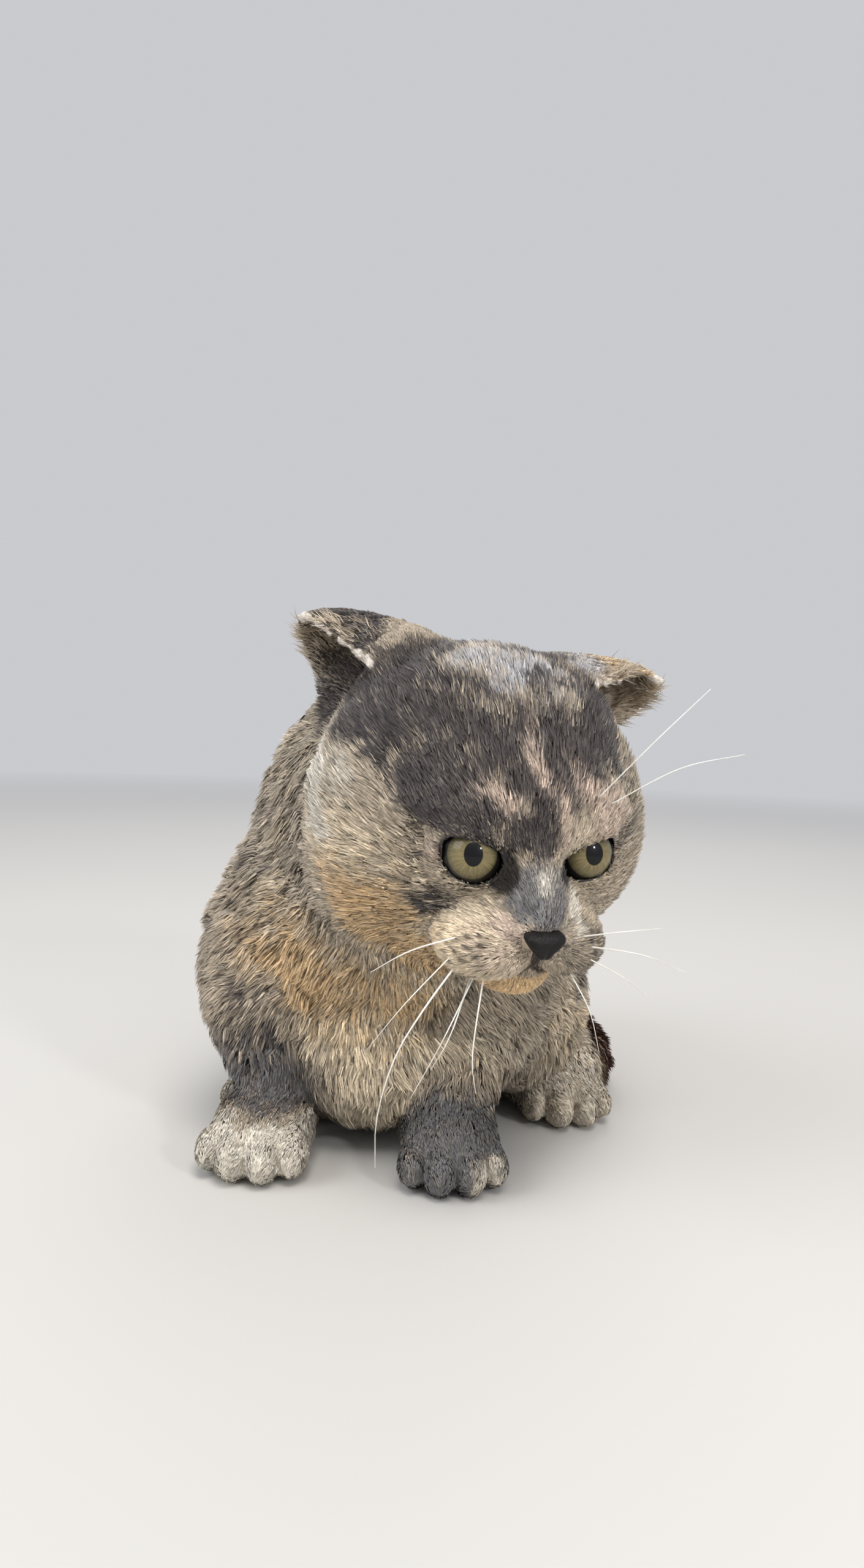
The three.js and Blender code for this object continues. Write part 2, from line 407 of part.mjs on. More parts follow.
const COLOUR = {
  face: 0x6f6a6b, head: 0x77706c, neck: 0xb59e83, trunk: 0x8c8078, rump: 0x7d726a,
  paw_front_right: 0xd8cbb6, foreleg_right: 0x6f6a69, paw_front_left: 0x66646a, foreleg_left: 0x988979,
  paw_hind_left: 0xd2c3ab, thigh_left: 0x8e8074, paw_hind_right: 0xb9ab99, thigh_right: 0x857a72,
  tail_base: 0x6d5b51, tail_middle: 0x67503f, tail_tip: 0x654a3c,
  ear_left: 0x8b7f78, ear_right: 0x6c6867, eye_left: 0xa7a154, eye_right: 0xa7a154, nose: 0x2b2728,
};
for (const name of Object.keys(solids)) solids[name] = tidy(solids[name]);
const group = new THREE.Group();
group.name = 'scottish_fold_cat';
for (const [name, solid] of Object.entries(solids)) {
  const m = solid.translate([-ORIGIN[0], -ORIGIN[1], 0]).getMesh(), g = new THREE.BufferGeometry();
  const p = new Float32Array(m.numVert * 3);
  for (let i = 0; i < m.numVert; i++) for (let j = 0; j < 3; j++) p[3 * i + j] = m.vertProperties[i * m.numProp + j];
  g.setAttribute('position', new THREE.BufferAttribute(p, 3));
  g.setIndex(new THREE.BufferAttribute(new Uint32Array(m.triVerts), 1));
  g.computeVertexNormals();
  const wet = name.startsWith('eye') || name === 'nose';
  const mesh = new THREE.Mesh(g, new THREE.MeshStandardMaterial({ color: COLOUR[name], roughness: wet ? 0.25 : 0.9, metalness: 0 }));
  mesh.name = name;
  group.add(mesh);
}
export default group;
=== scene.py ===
# Scottish Fold cat: one skin, a coat of mesh tufts, eyes, nose and whiskers, built around the solids.
# Lengths here are millimetres in the frame the masses are named in; pieces are made in metres.
import math
import time

import bpy
import numpy as np
from mathutils import Matrix, Vector


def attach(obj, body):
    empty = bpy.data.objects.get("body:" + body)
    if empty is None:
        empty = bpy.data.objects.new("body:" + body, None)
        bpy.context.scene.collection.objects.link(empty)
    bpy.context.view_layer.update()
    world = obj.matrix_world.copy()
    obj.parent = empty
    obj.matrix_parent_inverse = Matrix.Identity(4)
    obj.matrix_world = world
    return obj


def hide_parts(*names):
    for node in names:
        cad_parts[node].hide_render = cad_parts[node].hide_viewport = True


T0 = time.time()
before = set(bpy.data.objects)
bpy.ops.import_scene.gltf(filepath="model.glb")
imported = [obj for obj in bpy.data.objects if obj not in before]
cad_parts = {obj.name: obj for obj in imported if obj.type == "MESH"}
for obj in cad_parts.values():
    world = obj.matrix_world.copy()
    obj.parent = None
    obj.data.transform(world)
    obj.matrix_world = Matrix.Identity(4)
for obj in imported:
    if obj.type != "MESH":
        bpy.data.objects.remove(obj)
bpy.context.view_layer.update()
RNG = np.random.default_rng(20)

# ------------------------------------------------------------------ named sizes
ORIGIN = np.array([-2.1, 452.0, 0.0])
HEAD_AT = np.array([18.5, 372.0, 139.5])
HEAD_YAW, HEAD_PITCH = 19.5, 23.0
EYE_RAD = 10.3
EYE_AT = {"left": np.array([40.5, 19.8, 3.6]), "right": np.array([40.5, -19.8, 3.6])}
NOSE_AT = np.array([64.6, 0.0, -15.5])
TUFTS = 470000


def head_axes(yaw, pitch):
    a, b = np.radians([yaw, pitch])
    flat = np.array([np.sin(a), -np.cos(a), 0])
    f = np.cos(b) * flat + np.array([0, 0, -np.sin(b)])
    u = np.sin(b) * flat + np.array([0, 0, np.cos(b)])
    return np.stack([f, np.cross(u, f), u])


HR = head_axes(HEAD_YAW, HEAD_PITCH)      # rows: forward, cat's left, up


def to_head(p):
    return (p - HEAD_AT) @ HR.T


def from_head(q):
    return HEAD_AT + np.asarray(q, float) @ HR


# name, centre, radii, turn, coat depth, blend   /   name, end, end, radius, radius, coat depth, blend
TRUNK = [
    ("ell", "chest", (-22, 424, 74), (57, 46, 60), (0, 0, 0), 10, 0),
    ("ell", "withers", (-12, 440, 116), (51, 52, 60), (0, 0, 0), 11, 30),
    ("ell", "barrel", (-9, 462, 80), (69, 66, 68), (0, 0, -8), 10, 34),
    ("ell", "rump", (3, 506, 66), (68, 60, 64), (0, 0, 0), 10, 34),
    ("ell", "bib", (-22, 398, 66), (34, 18, 38), (8, 0, 0), 9, 22),
    ("ell", "belly", (-18, 440, 36), (44, 56, 34), (0, 0, 0), 8, 20),
    ("con", "neck", (-14, 432, 126), (9, 388, 138), 50, 47, 11, 26),
    ("ell", "nape", (-26, 424, 140), (33, 34, 40), (0, 0, 0), 11, 24),
    ("ell", "ruff", (-17, 385, 90), (32, 25, 24), (0, 0, 0), 10, 24),
]
LEGS = [
    ("ell", "shoulder right", (-60, 425, 70), (32, 36, 44), (0, 10, 0), 9, 22),
    ("con", "forearm right", (-61, 410, 50), (-58, 398, 22), 20.5, 14, 6, 14),
    ("con", "wrist right", (-58, 398, 22), (-61, 386, 13), 14, 13.5, 3, 8),
    ("ell", "shoulder left", (22, 426, 70), (30, 34, 42), (0, -10, 0), 9, 22),
    ("con", "forearm left", (17, 414, 48), (11, 394, 20), 21.5, 15, 6, 14),
    ("con", "wrist left", (11, 394, 20), (13, 382, 13), 15, 13.5, 3, 8),
    ("ell", "haunch left", (39, 468, 46), (33, 48, 44), (0, 0, 8), 9, 20),
    ("ell", "haunch right", (-54, 474, 50), (34, 50, 46), (0, 0, -8), 9, 20),
]
TOES = [(-0.335, -0.30, 0.88), (-0.125, -0.19, 1.0), (0.125, -0.19, 1.0), (0.335, -0.30, 0.9)]
PAWS = {"front right": (-63, 362, -8, 43, 50, 27), "front left": (13.5, 357, 6, 41, 50, 26),
        "hind left": (65, 427, 14, 40, 58, 26), "hind right": (-67, 420, -10, 40, 58, 26)}


def paw(name, x, y, heading, w, l, h, depth=2.5):
    a = math.radians(heading)
    fx, fy, lx, ly = math.sin(a), -math.cos(a), math.cos(a), math.sin(a)
    at = lambda f, s, z: (x + fx * f + lx * s, y + fy * f + ly * s, z)
    out = [("ell", name, at(-0.52 * l, 0, 0.46 * h), (0.44 * w, 0.44 * l, 0.52 * h), (0, 0, heading), depth, 8)]
    for s, f, k in TOES:
        out.append(("ell", name + " toe", at(f * l, s * w, 0.34 * h),
                    (0.155 * w * k + 0.6, 0.24 * l, 0.36 * h * k), (0, 0, heading + 30 * s), depth - 0.7, 2.5))
    return out


FEET = []
for nm, v in PAWS.items():
    FEET += paw(nm, *v)
FEET += [("con", "hock left", (66, 462, 17), (60, 484, 22), 14, 17, 4, 12),
         ("con", "hock right", (-66, 458, 17), (-62, 484, 22), 14, 17, 4, 12)]
TAIL_LINE = np.array([(-14, 538, 44), (-4, 560, 26), (20, 571, 16), (47, 559, 15.5), (66, 536, 15.2),
                      (74, 508, 15.2), (75, 482, 14.2), (70, 462, 12.6)], float)
TAIL_RADIUS = np.array([24, 20, 16.5, 15.6, 15.3, 15.2, 14.0, 11.0])


def smooth_line(pts, n):
    p = np.vstack([2 * pts[0] - pts[1], pts, 2 * pts[-1] - pts[-2]])
    out = []
    for i in range(1, len(p) - 2):
        a, b, c, d = p[i - 1:i + 3]
        for t in np.arange(n) / n:
            out.append(0.5 * (2 * b + (c - a) * t + (2 * a - 5 * b + 4 * c - d) * t * t + (3 * b - a - 3 * c + d) * t ** 3))
    out.append(p[-2])
    return np.array(out)


TAIL_FINE = smooth_line(np.column_stack([TAIL_LINE, TAIL_RADIUS]), 3)
TAIL = [("con", "tail", tuple(a[:3]), tuple(b[:3]), a[3], b[3], 9, 14 if i == 0 else 3)
        for i, (a, b) in enumerate(zip(TAIL_FINE[:-1], TAIL_FINE[1:]))]
HEAD = [
    ("ell", "skull", (-6, 0, 8), (50, 53, 48), (0, 0, 0), 7, 14),
    ("ell", "cheek left", (2, 33, -9), (35, 26, 35), (0, 0, 0), 7, 16),
    ("ell", "cheek right", (2, -33, -9), (35, 26, 35), (0, 0, 0), 7, 16),
    ("ell", "forehead", (28, 0, 13), (19, 36, 20), (0, 0, 0), 4, 14),
    ("ell", "face", (30, 0, -12), (22, 38, 26), (0, 0, 0), 4, 12),
    ("ell", "brow left", (35, 21, 15), (10, 14, 8), (0, 0, 0), 3, 8),
    ("ell", "brow right", (35, -21, 15), (10, 14, 8), (0, 0, 0), 3, 8),
    ("con", "nose bridge", (36, 0, 8), (58, 0, -12), 13, 9, 2.5, 10),
    ("ell", "whisker pad left", (48.5, 13.2, -23.5), (16, 16.5, 12), (0, 0, 0), 3, 5),
    ("ell", "whisker pad right", (48.5, -13.2, -23.5), (16, 16.5, 12), (0, 0, 0), 3, 5),
    ("ell", "muzzle", (42, 0, -20), (21, 24, 17), (0, 0, 0), 3, 8),
    ("ell", "chin", (45, 0, -35), (14, 13, 9), (0, 0, 0), 3, 6),
    ("ell", "jaw", (24, 0, -28), (28, 28, 18), (0, 0, 0), 5, 12),
]
LIDS = (0.9, 1.4, 6)            # skin over the eyeball, coat over that, blend with the face
EARS = {"right": dict(base=(-15, 387, 185.5), tip=(-52, 397, 206), back=(0.5, -0.05, 0.86), wide=22, high=18, slope=0.12),
        "left": dict(base=(49, 389, 179), tip=(85.5, 400.3, 186.5), back=(-0.22, -0.05, 0.97), wide=21, high=15.5, slope=-0.10)}
EAR_WALL = 3.4


# ------------------------------------------------------------------ distance functions
def turn(e):
    x, y, z = np.radians(e)
    rx = np.array([[1, 0, 0], [0, np.cos(x), -np.sin(x)], [0, np.sin(x), np.cos(x)]])
    ry = np.array([[np.cos(y), 0, np.sin(y)], [0, 1, 0], [-np.sin(y), 0, np.cos(y)]])
    rz = np.array([[np.cos(z), -np.sin(z), 0], [np.sin(z), np.cos(z), 0], [0, 0, 1]])
    return rz @ ry @ rx


def smin(a, b, k):
    if k <= 0:
        return np.minimum(a, b)
    h = np.maximum(k - np.abs(a - b), 0) / k
    return np.minimum(a, b) - h * h * k * 0.25


def smax(a, b, k):
    return -smin(-a, -b, k)


def smooth(x, a, b):
    t = np.clip((x - a) / (b - a), 0, 1)
    return t * t * (3 - 2 * t)


def mass(s, p):
    if s[0] == "ell":
        x = p - np.asarray(s[2], float)
        if any(s[4]):
            x = x @ turn(s[4])
        r = np.asarray(s[3], float)
        y = x / r
        k0 = np.sqrt(np.einsum("ij,ij->i", y, y))
        y /= r
        k1 = np.sqrt(np.einsum("ij,ij->i", y, y)) + 1e-9
        return k0 * (k0 - 1) / k1
    a, b = np.asarray(s[2], float), np.asarray(s[3], float)
    ab = b - a
    t = np.clip((p - a) @ ab / (ab @ ab), 0, 1)
    q = p - a - t[:, None] * ab
    return np.sqrt(np.einsum("ij,ij->i", q, q)) - (s[4] + (s[5] - s[4]) * t)


def joined(items, p, ds):
    v = None
    for s in items:
        d = mass(s, p) + s[-2] * ds
        v = d if v is None else smin(v, d, s[-1])
    return v


def ear_frame(e):
    b, t = np.array(e["base"], float), np.array(e["tip"], float)
    e1 = t - b
    length = np.linalg.norm(e1)
    e1 /= length
    n = np.array(e["back"], float)
    n -= n @ e1 * e1
    n /= np.linalg.norm(n)
    w = np.cross(n, e1)
    return b, e1, (-w if w[1] > 0 else w), n, length


def ear_cone(q, length, wide, high, part=1.0):
    t = q[:, 0] / (length * part)
    ang = np.degrees(np.arctan2(q[:, 2] / high, q[:, 1] / wide))
    back = np.where(ang < -90, ang + 360, ang)
    rear = smooth(back, 60, 180)
    tt = np.clip(t, 0, 1)
    f = np.where(t < 0, np.sqrt(np.maximum(1 - (t / 0.5) ** 2, 0)),
                 np.maximum(1 - tt ** (1 + 3 * rear), 0) ** (0.8 - 0.25 * rear))
    low = np.where(back > 180, 1 + 0.6 * np.clip((back - 180) / 17, 0, 1), 1.0)
    hw, hs = wide * f + 2.2, (high * f + 2.0) * low
    r = (np.sqrt((q[:, 1] / hw) ** 2 + (q[:, 2] / hs) ** 2) - 1) * np.minimum(hw, hs)
    over = np.maximum(np.maximum(q[:, 0] - length * part, -q[:, 0] - 0.5 * length), 0)
    return np.where(over > 0, np.sqrt(np.maximum(r, 0) ** 2 + over ** 2), r)


def ear_parts(p, e, ds):
    b, e1, w, n, length = ear_frame(e)
    q = np.stack([(p - b) @ e1, (p - b) @ w, (p - b) @ n], 1)
    wide, high = e["wide"], e["high"]
    outer = ear_cone(q, length, wide, high) + ds
    inner = ear_cone(q, length, wide - EAR_WALL, high - EAR_WALL, 0.9) - 0.4 * ds
    below = np.where(q[:, 1] > 0, q[:, 2] + e["slope"] * q[:, 1] * high / wide,
                     q[:, 2] - 1.07 * q[:, 1] * high / wide) * 0.8
    hollow = smax(smin(inner, below, 2.0), 1.0 - q[:, 0], 2.0)
    return outer, hollow, q


# eyes: where they look and how the lids open
def aim(yaw, up):
    a, b = np.radians([yaw, up])
    return np.array([np.sin(a) * np.cos(b), -np.cos(a) * np.cos(b), np.sin(b)])


EYES = {
    "right": dict(at=from_head(EYE_AT["right"]), gaze=aim(4, 5), open=aim(1, -5), inner=1,
                  up=5.3, down=7.7, slant=0.20, tear=(10.6, -4.6, 5.0, 7.0)),
    "left": dict(at=from_head(EYE_AT["left"]), gaze=aim(15, 5), open=aim(16, -5), inner=-1,
                 up=4.5, down=6.7, slant=0.33, tear=(9.6, -4.2, 3.2, 4.2)),
}
OPEN_W = 8.6
for e in EYES.values():
    z = e["open"]
    x = np.cross([0, 0, 1], z)
    x /= np.linalg.norm(x)          # towards the picture's right
    e["axes"] = np.stack([x, np.cross(z, x), z])


def opening(e, p):
    """Signed distance to the slot between the lids, seen along its own axis; and the point in the eye's frame."""
    q = (p - e["at"]) @ e["axes"].T
    out = -q[:, 0] * e["inner"]                # towards the outer corner
    x, y = q[:, 0], q[:, 1] - e["slant"] * out
    hw = OPEN_W + 1.2 * smooth(-out, 0, 6)
    n = np.where(y > 0, 3.0, 2.1)
    hh = np.where(y > 0, e["up"], e["down"]) * (1 - 0.20 * smooth(-out, 3, 10))
    k = (np.abs(x / hw) ** n + np.abs(y / hh) ** n) ** (1 / n)
    return (k - 1) * 6.5, q


LIP = [(63.0, 1.2, -28.6), (60.6, -2.7, -31.2), (59.2, -8.3, -32.8), (56.2, -13.3, -34.4), (48, -17, -37.0), (40.5, -20, -37.5)]


def on_skin(points):
    """draws points of the head's frame onto the bare skin"""
    q = np.array(points, float)
    for _ in range(6):
        d = joined(HEAD, q, 1.0)
        g = np.stack([joined(HEAD, q + 0.05 * k, 1.0) - d for k in np.eye(3)], 1) / 0.05
        q = q - (d / np.maximum((g ** 2).sum(1), 0.2))[:, None] * g
    return [tuple(v) for v in q]


MOUTH = [on_skin(line) for line in ([(67.5, 0.2, -19.5), (65.8, 0.6, -24.0), LIP[0]], LIP, [LIP[0]] + [(f, 2.4 - l, u) for f, l, u in LIP[1:]])]


def line_distance(q, line):
    best = np.full(len(q), 1e9)
    for a, b in zip(line[:-1], line[1:]):
        a, b = np.array(a, float), np.array(b, float)
        ab = b - a
        t = np.clip((q - a) @ ab / (ab @ ab), 0, 1)
        best = np.minimum(best, np.linalg.norm(q - a - t[:, None] * ab, axis=1))
    return best


def body_field(p, ds):
    return joined(TRUNK + LEGS + FEET, p, ds), joined(TAIL, p, ds)


def head_field(p, ds, detail):
    q = to_head(p)
    d = joined(HEAD, q, ds)
    for s in ("left", "right"):
        d = smin(d, np.linalg.norm(q - EYE_AT[s], axis=1) - EYE_RAD - LIDS[0] - LIDS[1] * (1 - ds), LIDS[2])
    if detail:
        near = np.abs(d) < 14
        qn, pn, dn = q[near], p[near], d[near]
        for s in ("left", "right"):
            e = EYES[s]
            o, g = opening(e, pn)
            r = np.linalg.norm(g, axis=1)
            slot = np.maximum(o, 2.0 - g[:, 2])
            dn = smax(dn, -slot, 0.7)
            dn = np.maximum(dn, EYE_RAD + 0.12 - r)
        for line in MOUTH:
            dn = smax(dn, 1.25 - line_distance(qn, line), 1.2)
        d = d.copy()
        d[near] = dn
    return d, q


def ears_on(d, p, ds, k):
    for e in EARS.values():
        outer, hollow, _ = ear_parts(p, e, ds)
        d = smin(d, smax(outer, -hollow, 1.6), k)
        d = np.where(hollow < 2, smax(d, -smax(hollow, -(outer + 9), 2.0), 1.6), d) if k == 0 else d
    return d


def field(p, ds=0.0, detail=False):
    """Distance to the coat's outline (ds 0) or to the skin (ds 1)."""
    body, tail = body_field(p, ds)
    b = smin(body, tail, 3.0)
    root = np.linalg.norm(p - TAIL_LINE[0], axis=1) < 45
    b = np.where(root, smin(body, tail, 12.0), b)
    h, _ = head_field(p, ds, detail)
    h = ears_on(h, p, ds, 6)
    return smin(b, h, 28)


def skin_field(p):
    ds = np.clip((p[:, 2] - 0.5) / 9.0, 0, 1) ** 0.7
    return np.maximum(field(p, ds, True), -p[:, 2])


# ------------------------------------------------------------------ meshing
def spaced(*runs):
    out = [runs[0][0]]
    for lo, hi, step in runs:
        n = max(1, int(round((hi - lo) / step)))
        out += list(lo + (hi - lo) * (np.arange(n) + 1) / n)
    return np.array(out, float)


def grid_values(fn, ax, block=4, margin=1.7):
    n = [len(a) for a in ax]
    val = np.empty(n, np.float32)
    cuts = [list(range(0, m, block)) + [m] for m in n]
    mids = [np.array([0.5 * (a[c[i]] + a[min(c[i + 1], len(a) - 1)]) for i in range(len(c) - 1)]) for a, c in zip(ax, cuts)]
    half = [np.array([0.5 * (a[min(c[i + 1], len(a) - 1)] - a[c[i]]) for i in range(len(c) - 1)]) for a, c in zip(ax, cuts)]
    g = np.stack(np.meshgrid(*mids, indexing="ij"), -1).reshape(-1, 3)
    r = np.sqrt(sum(h.reshape([-1 if i == j else 1 for j in range(3)]) ** 2 for i, h in enumerate(half))).reshape(-1)
    coarse = fn(g)
    which = [np.repeat(np.arange(len(c) - 1), np.diff(c)) for c in cuts]
    full = coarse.reshape([len(m) for m in mids])[np.ix_(*which)]
    val[:] = full
    near = (np.abs(coarse) < r * margin + 1.5).reshape([len(m) for m in mids])[np.ix_(*which)]
    idx = np.argwhere(near)
    for s in range(0, len(idx), 400000):
        k = idx[s:s + 400000]
        p = np.stack([ax[i][k[:, i]] for i in range(3)], 1)
        val[tuple(k.T)] = fn(p)
    return val


def nets(val, ax):
    n = np.array(val.shape)
    inside = val < 0
    c = np.zeros(n - 1, np.int8)
    for dx in (0, 1):
        for dy in (0, 1):
            for dz in (0, 1):
                c += inside[dx:n[0] - 1 + dx, dy:n[1] - 1 + dy, dz:n[2] - 1 + dz]
    act = (c > 0) & (c < 8)
    idx = -np.ones(n - 1, int)
    cells = np.argwhere(act)
    idx[act] = np.arange(len(cells))
    acc, cnt = np.zeros((len(cells), 3)), np.zeros(len(cells))
    for a in [(x, y, z) for x in (0, 1) for y in (0, 1) for z in (0, 1)]:
        for k in range(3):
            if a[k]:
                continue
            ca = np.array(a)
            cb = ca.copy()
            cb[k] = 1
            va, vb = val[tuple((cells + ca).T)], val[tuple((cells + cb).T)]
            m = (va < 0) != (vb < 0)
            t = np.where(m, va / np.where(m, va - vb, 1), 0)
            acc[m] += (ca[None] + (cb - ca)[None] * t[:, None])[m]
            cnt[m] += 1
    fr = acc / cnt[:, None]
    v = np.stack([ax[i][cells[:, i]] * (1 - fr[:, i]) + ax[i][cells[:, i] + 1] * fr[:, i] for i in range(3)], 1)
    quads = []
    for k in range(3):
        u, w = [i for i in range(3) if i != k]
        m0 = [slice(1, n[i] - 1) for i in range(3)]
        m0[k] = slice(0, n[k] - 1)
        m1 = list(m0)
        m1[k] = slice(1, n[k])
        a, b = inside[tuple(m0)], inside[tuple(m1)]
        base = np.argwhere(a != b)
        flag = a[tuple(base.T)]
        base[:, u] += 1
        base[:, w] += 1

        def cell(du, dw):
            q = base.copy()
            q[:, u] -= du
            q[:, w] -= dw
            return idx[tuple(q.T)]

        q = np.stack([cell(1, 1), cell(0, 1), cell(0, 0), cell(1, 0)], 1)
        flip = flag if k != 1 else ~flag
        quads.append(np.where(flip[:, None], q, q[:, ::-1]))
    return v, np.concatenate(quads)


def metres(p):
    return (p - ORIGIN) / 1000.0


def make_mesh(name, verts, faces_by_size, smooth_faces=True):
    """verts in metres; faces_by_size a list of (faces array with a fixed number of corners)."""
    me = bpy.data.meshes.new(name)
    me.vertices.add(len(verts))
    me.vertices.foreach_set("co", np.ascontiguousarray(verts, np.float32).ravel())
    loops = np.concatenate([f.ravel() for f in faces_by_size]).astype(np.int32)
    sizes = np.concatenate([np.full(len(f), f.shape[1], np.int32) for f in faces_by_size])
    me.loops.add(len(loops))
    me.loops.foreach_set("vertex_index", loops)
    me.polygons.add(len(sizes))
    me.polygons.foreach_set("loop_start", np.concatenate([[0], np.cumsum(sizes)[:-1]]).astype(np.int32))
    me.polygons.foreach_set("use_smooth", np.full(len(sizes), smooth_faces))
    me.update(calc_edges=True)
    me.validate()
    ob = bpy.data.objects.new(name, me)
    bpy.context.scene.collection.objects.link(ob)
    return ob


def point_colour(me, name, rgb):
    a = me.attributes.new(name, "FLOAT_COLOR", "POINT")
    a.data.foreach_set("color", np.column_stack([rgb, np.ones(len(rgb))]).astype(np.float32).ravel())


def point_value(me, name, v):
    a = me.attributes.new(name, "FLOAT", "POINT")
    a.data.foreach_set("value", np.asarray(v, np.float32))


# ------------------------------------------------------------------ noise
def hashed(i, seed):
    h = (i[..., 0] * 374761393 + i[..., 1] * 668265263 + i[..., 2] * 2147483647 + seed * 974634777) & 0xFFFFFFFF
    h = ((h ^ (h >> 13)) * 1274126177) & 0xFFFFFFFF
    return ((h ^ (h >> 16)) & 0xFFFFFF) / float(0xFFFFFF)


def noise(p, size, seed=0):
    x = p / size
    i = np.floor(x).astype(np.int64)
    f = x - i
    f = f * f * (3 - 2 * f)
    out = 0
    for a in (0, 1):
        for b in (0, 1):
            for c in (0, 1):
                w = (f[:, 0] if a else 1 - f[:, 0]) * (f[:, 1] if b else 1 - f[:, 1]) * (f[:, 2] if c else 1 - f[:, 2])
                out = out + w * hashed(i + np.array([a, b, c]), seed)
    return out * 2 - 1


def unit(v):
    return v / np.maximum(np.linalg.norm(v, axis=1), 1e-9)[:, None]


# ------------------------------------------------------------------ the skin
coarse = 1.0
AX = [
    spaced((-112, -44, 2.4 * coarse), (-44, 92, 1.45 * coarse), (92, 106, 2.4 * coarse)),
    spaced((308, 372, 1.3 * coarse), (372, 412, 1.9 * coarse), (412, 600, 2.5 * coarse)),
    spaced((-4, 30, 1.9 * coarse), (30, 84, 2.6 * coarse), (84, 172, 1.3 * coarse), (172, 218, 1.7 * coarse)),
]
val = grid_values(skin_field, AX)
sv, sq = nets(val, AX)
del val
used = np.unique(sq)
remap = -np.ones(len(sv), int)
remap[used] = np.arange(len(used))
sv, sq = sv[used], remap[sq]


def biggest(nv, quads):
    """keeps the faces of the largest connected surface"""
    lab = np.arange(nv)
    e = np.concatenate([quads[:, [0, 1]], quads[:, [1, 2]], quads[:, [2, 3]]])
    while True:
        m = np.minimum(lab[e[:, 0]], lab[e[:, 1]])
        new = lab.copy()
        np.minimum.at(new, e[:, 0], m)
        np.minimum.at(new, e[:, 1], m)
        new = new[new]
        if np.array_equal(new, lab):
            break
        lab = new
    ids, counts = np.unique(lab, return_counts=True)
    return lab == ids[counts.argmax()]


keep = biggest(len(sv), sq)
sq = sq[keep[sq[:, 0]]]
used = np.unique(sq)
remap[:] = -1
remap = -np.ones(len(sv), int)
remap[used] = np.arange(len(used))
sv, sq = sv[used], remap[sq]
sv[:, 2] = np.where(sv[:, 2] < 0.35, 0.0, sv[:, 2])
print("skin", len(sv), "points", len(sq), "quads", round(time.time() - T0, 1), "s")


def relax(v, quads, times, amount):
    """a light smoothing that keeps the volume, so that cell steps don't show"""
    e = np.concatenate([quads[:, [0, 1]], quads[:, [1, 2]], quads[:, [2, 3]], quads[:, [3, 0]]])
    e = np.concatenate([e, e[:, ::-1]])
    deg = np.bincount(e[:, 0], minlength=len(v))[:, None]
    for i in range(times):
        for s in (amount, -amount * 1.03):
            mean = np.stack([np.bincount(e[:, 0], v[e[:, 1], k], len(v)) for k in range(3)], 1) / deg
            v = v + s * (mean - v)
    return v


floor_pts = sv[:, 2] <= 0
sv = relax(sv, sq, 2, 0.5)
sv[floor_pts, 2] = 0.0
sv[:, 2] = np.maximum(sv[:, 2], 0)
skin = make_mesh("skin", metres(sv), [sq])
SN = np.empty(len(sv) * 3, np.float32)
skin.data.vertices.foreach_get("normal", SN)
SN = SN.reshape(-1, 3).astype(float)
out = field(sv + SN * 2.0) - field(sv - SN * 2.0)
if np.median(out) < 0:                         # faces turned outward
    skin.data.flip_normals()
    sq = sq[:, ::-1]
    SN = -SN

# how each point of the skin lies: under how much coat, and in which region
DEPTH = np.clip(-field(sv), 0.5, 14)
QH = to_head(sv)
d_body, d_tail = body_field(sv, 0.0)
d_head, _ = head_field(sv, 0.0, False)
ear_d = {k: ear_parts(sv, e, 0.0) for k, e in EARS.items()}
EAR = np.zeros(len(sv))
for k, (o, h, q) in ear_d.items():
    EAR = np.maximum(EAR, smooth(-o, -4, 0.0) * smooth(q[:, 0], -2, 8))


def ear_margin(p):
    """the pale line along the folded edge of each ear"""
    out = np.zeros(len(p))
    for e in EARS.values():
        o, h, q = ear_parts(p, e, 0.0)
        line = np.abs(q[:, 2] + e["slope"] * q[:, 1] * e["high"] / e["wide"] - 1.7)
        out = np.maximum(out, smooth(-line, -1.7, -0.9) * smooth(o, -4.5, -2.8) * smooth(-o, -3.2, -1.8) * smooth(q[:, 0], -1, 3) * (q[:, 1] > 0))
    return out


def tear_patch(p):
    """the dark patch in the inner corner of each eye"""
    out = np.zeros(len(p))
    for e in EYES.values():
        g = (p - e["at"]) @ e["axes"].T
        front = (g[:, 2] > 0) & (np.linalg.norm(g, axis=1) < 19)
        tx, ty, tw, th = e["tear"]
        out = np.maximum(out, smooth(-np.hypot((g[:, 0] * e["inner"] - tx) / tw, (g[:, 1] - ty) / th), -1.2, -0.8) * front)
    return out


FLECKS = [(56.2, -27.2, -20.7), (58.0, -24.7, -18.5), (59.4, -21.8, -16.9), (60.5, -18.7, -15.9), (56.3, -27.6, -24.1),
          (59.1, -25.3, -21.6), (60.9, -22.2, -19.5), (62.2, -18.5, -18.1), (58.6, -25.6, -25.8), (61.2, -23.3, -23.4), (63.0, -19.8, -21.4)]
LIP_EDGE = [(63.0, -0.2, -27.0), (63.3, -4.6, -27.3), (62.8, -10.3, -29.4), (60.6, -15.3, -31.5), (57.0, -19.6, -32.1), (52.6, -23.8, -32.6)]
CLEFT = [(68.0, 0.0, -20.0), (64.8, 0.7, -22.4), (64.1, 0.8, -24.2), (63.2, 0.4, -27.0)]


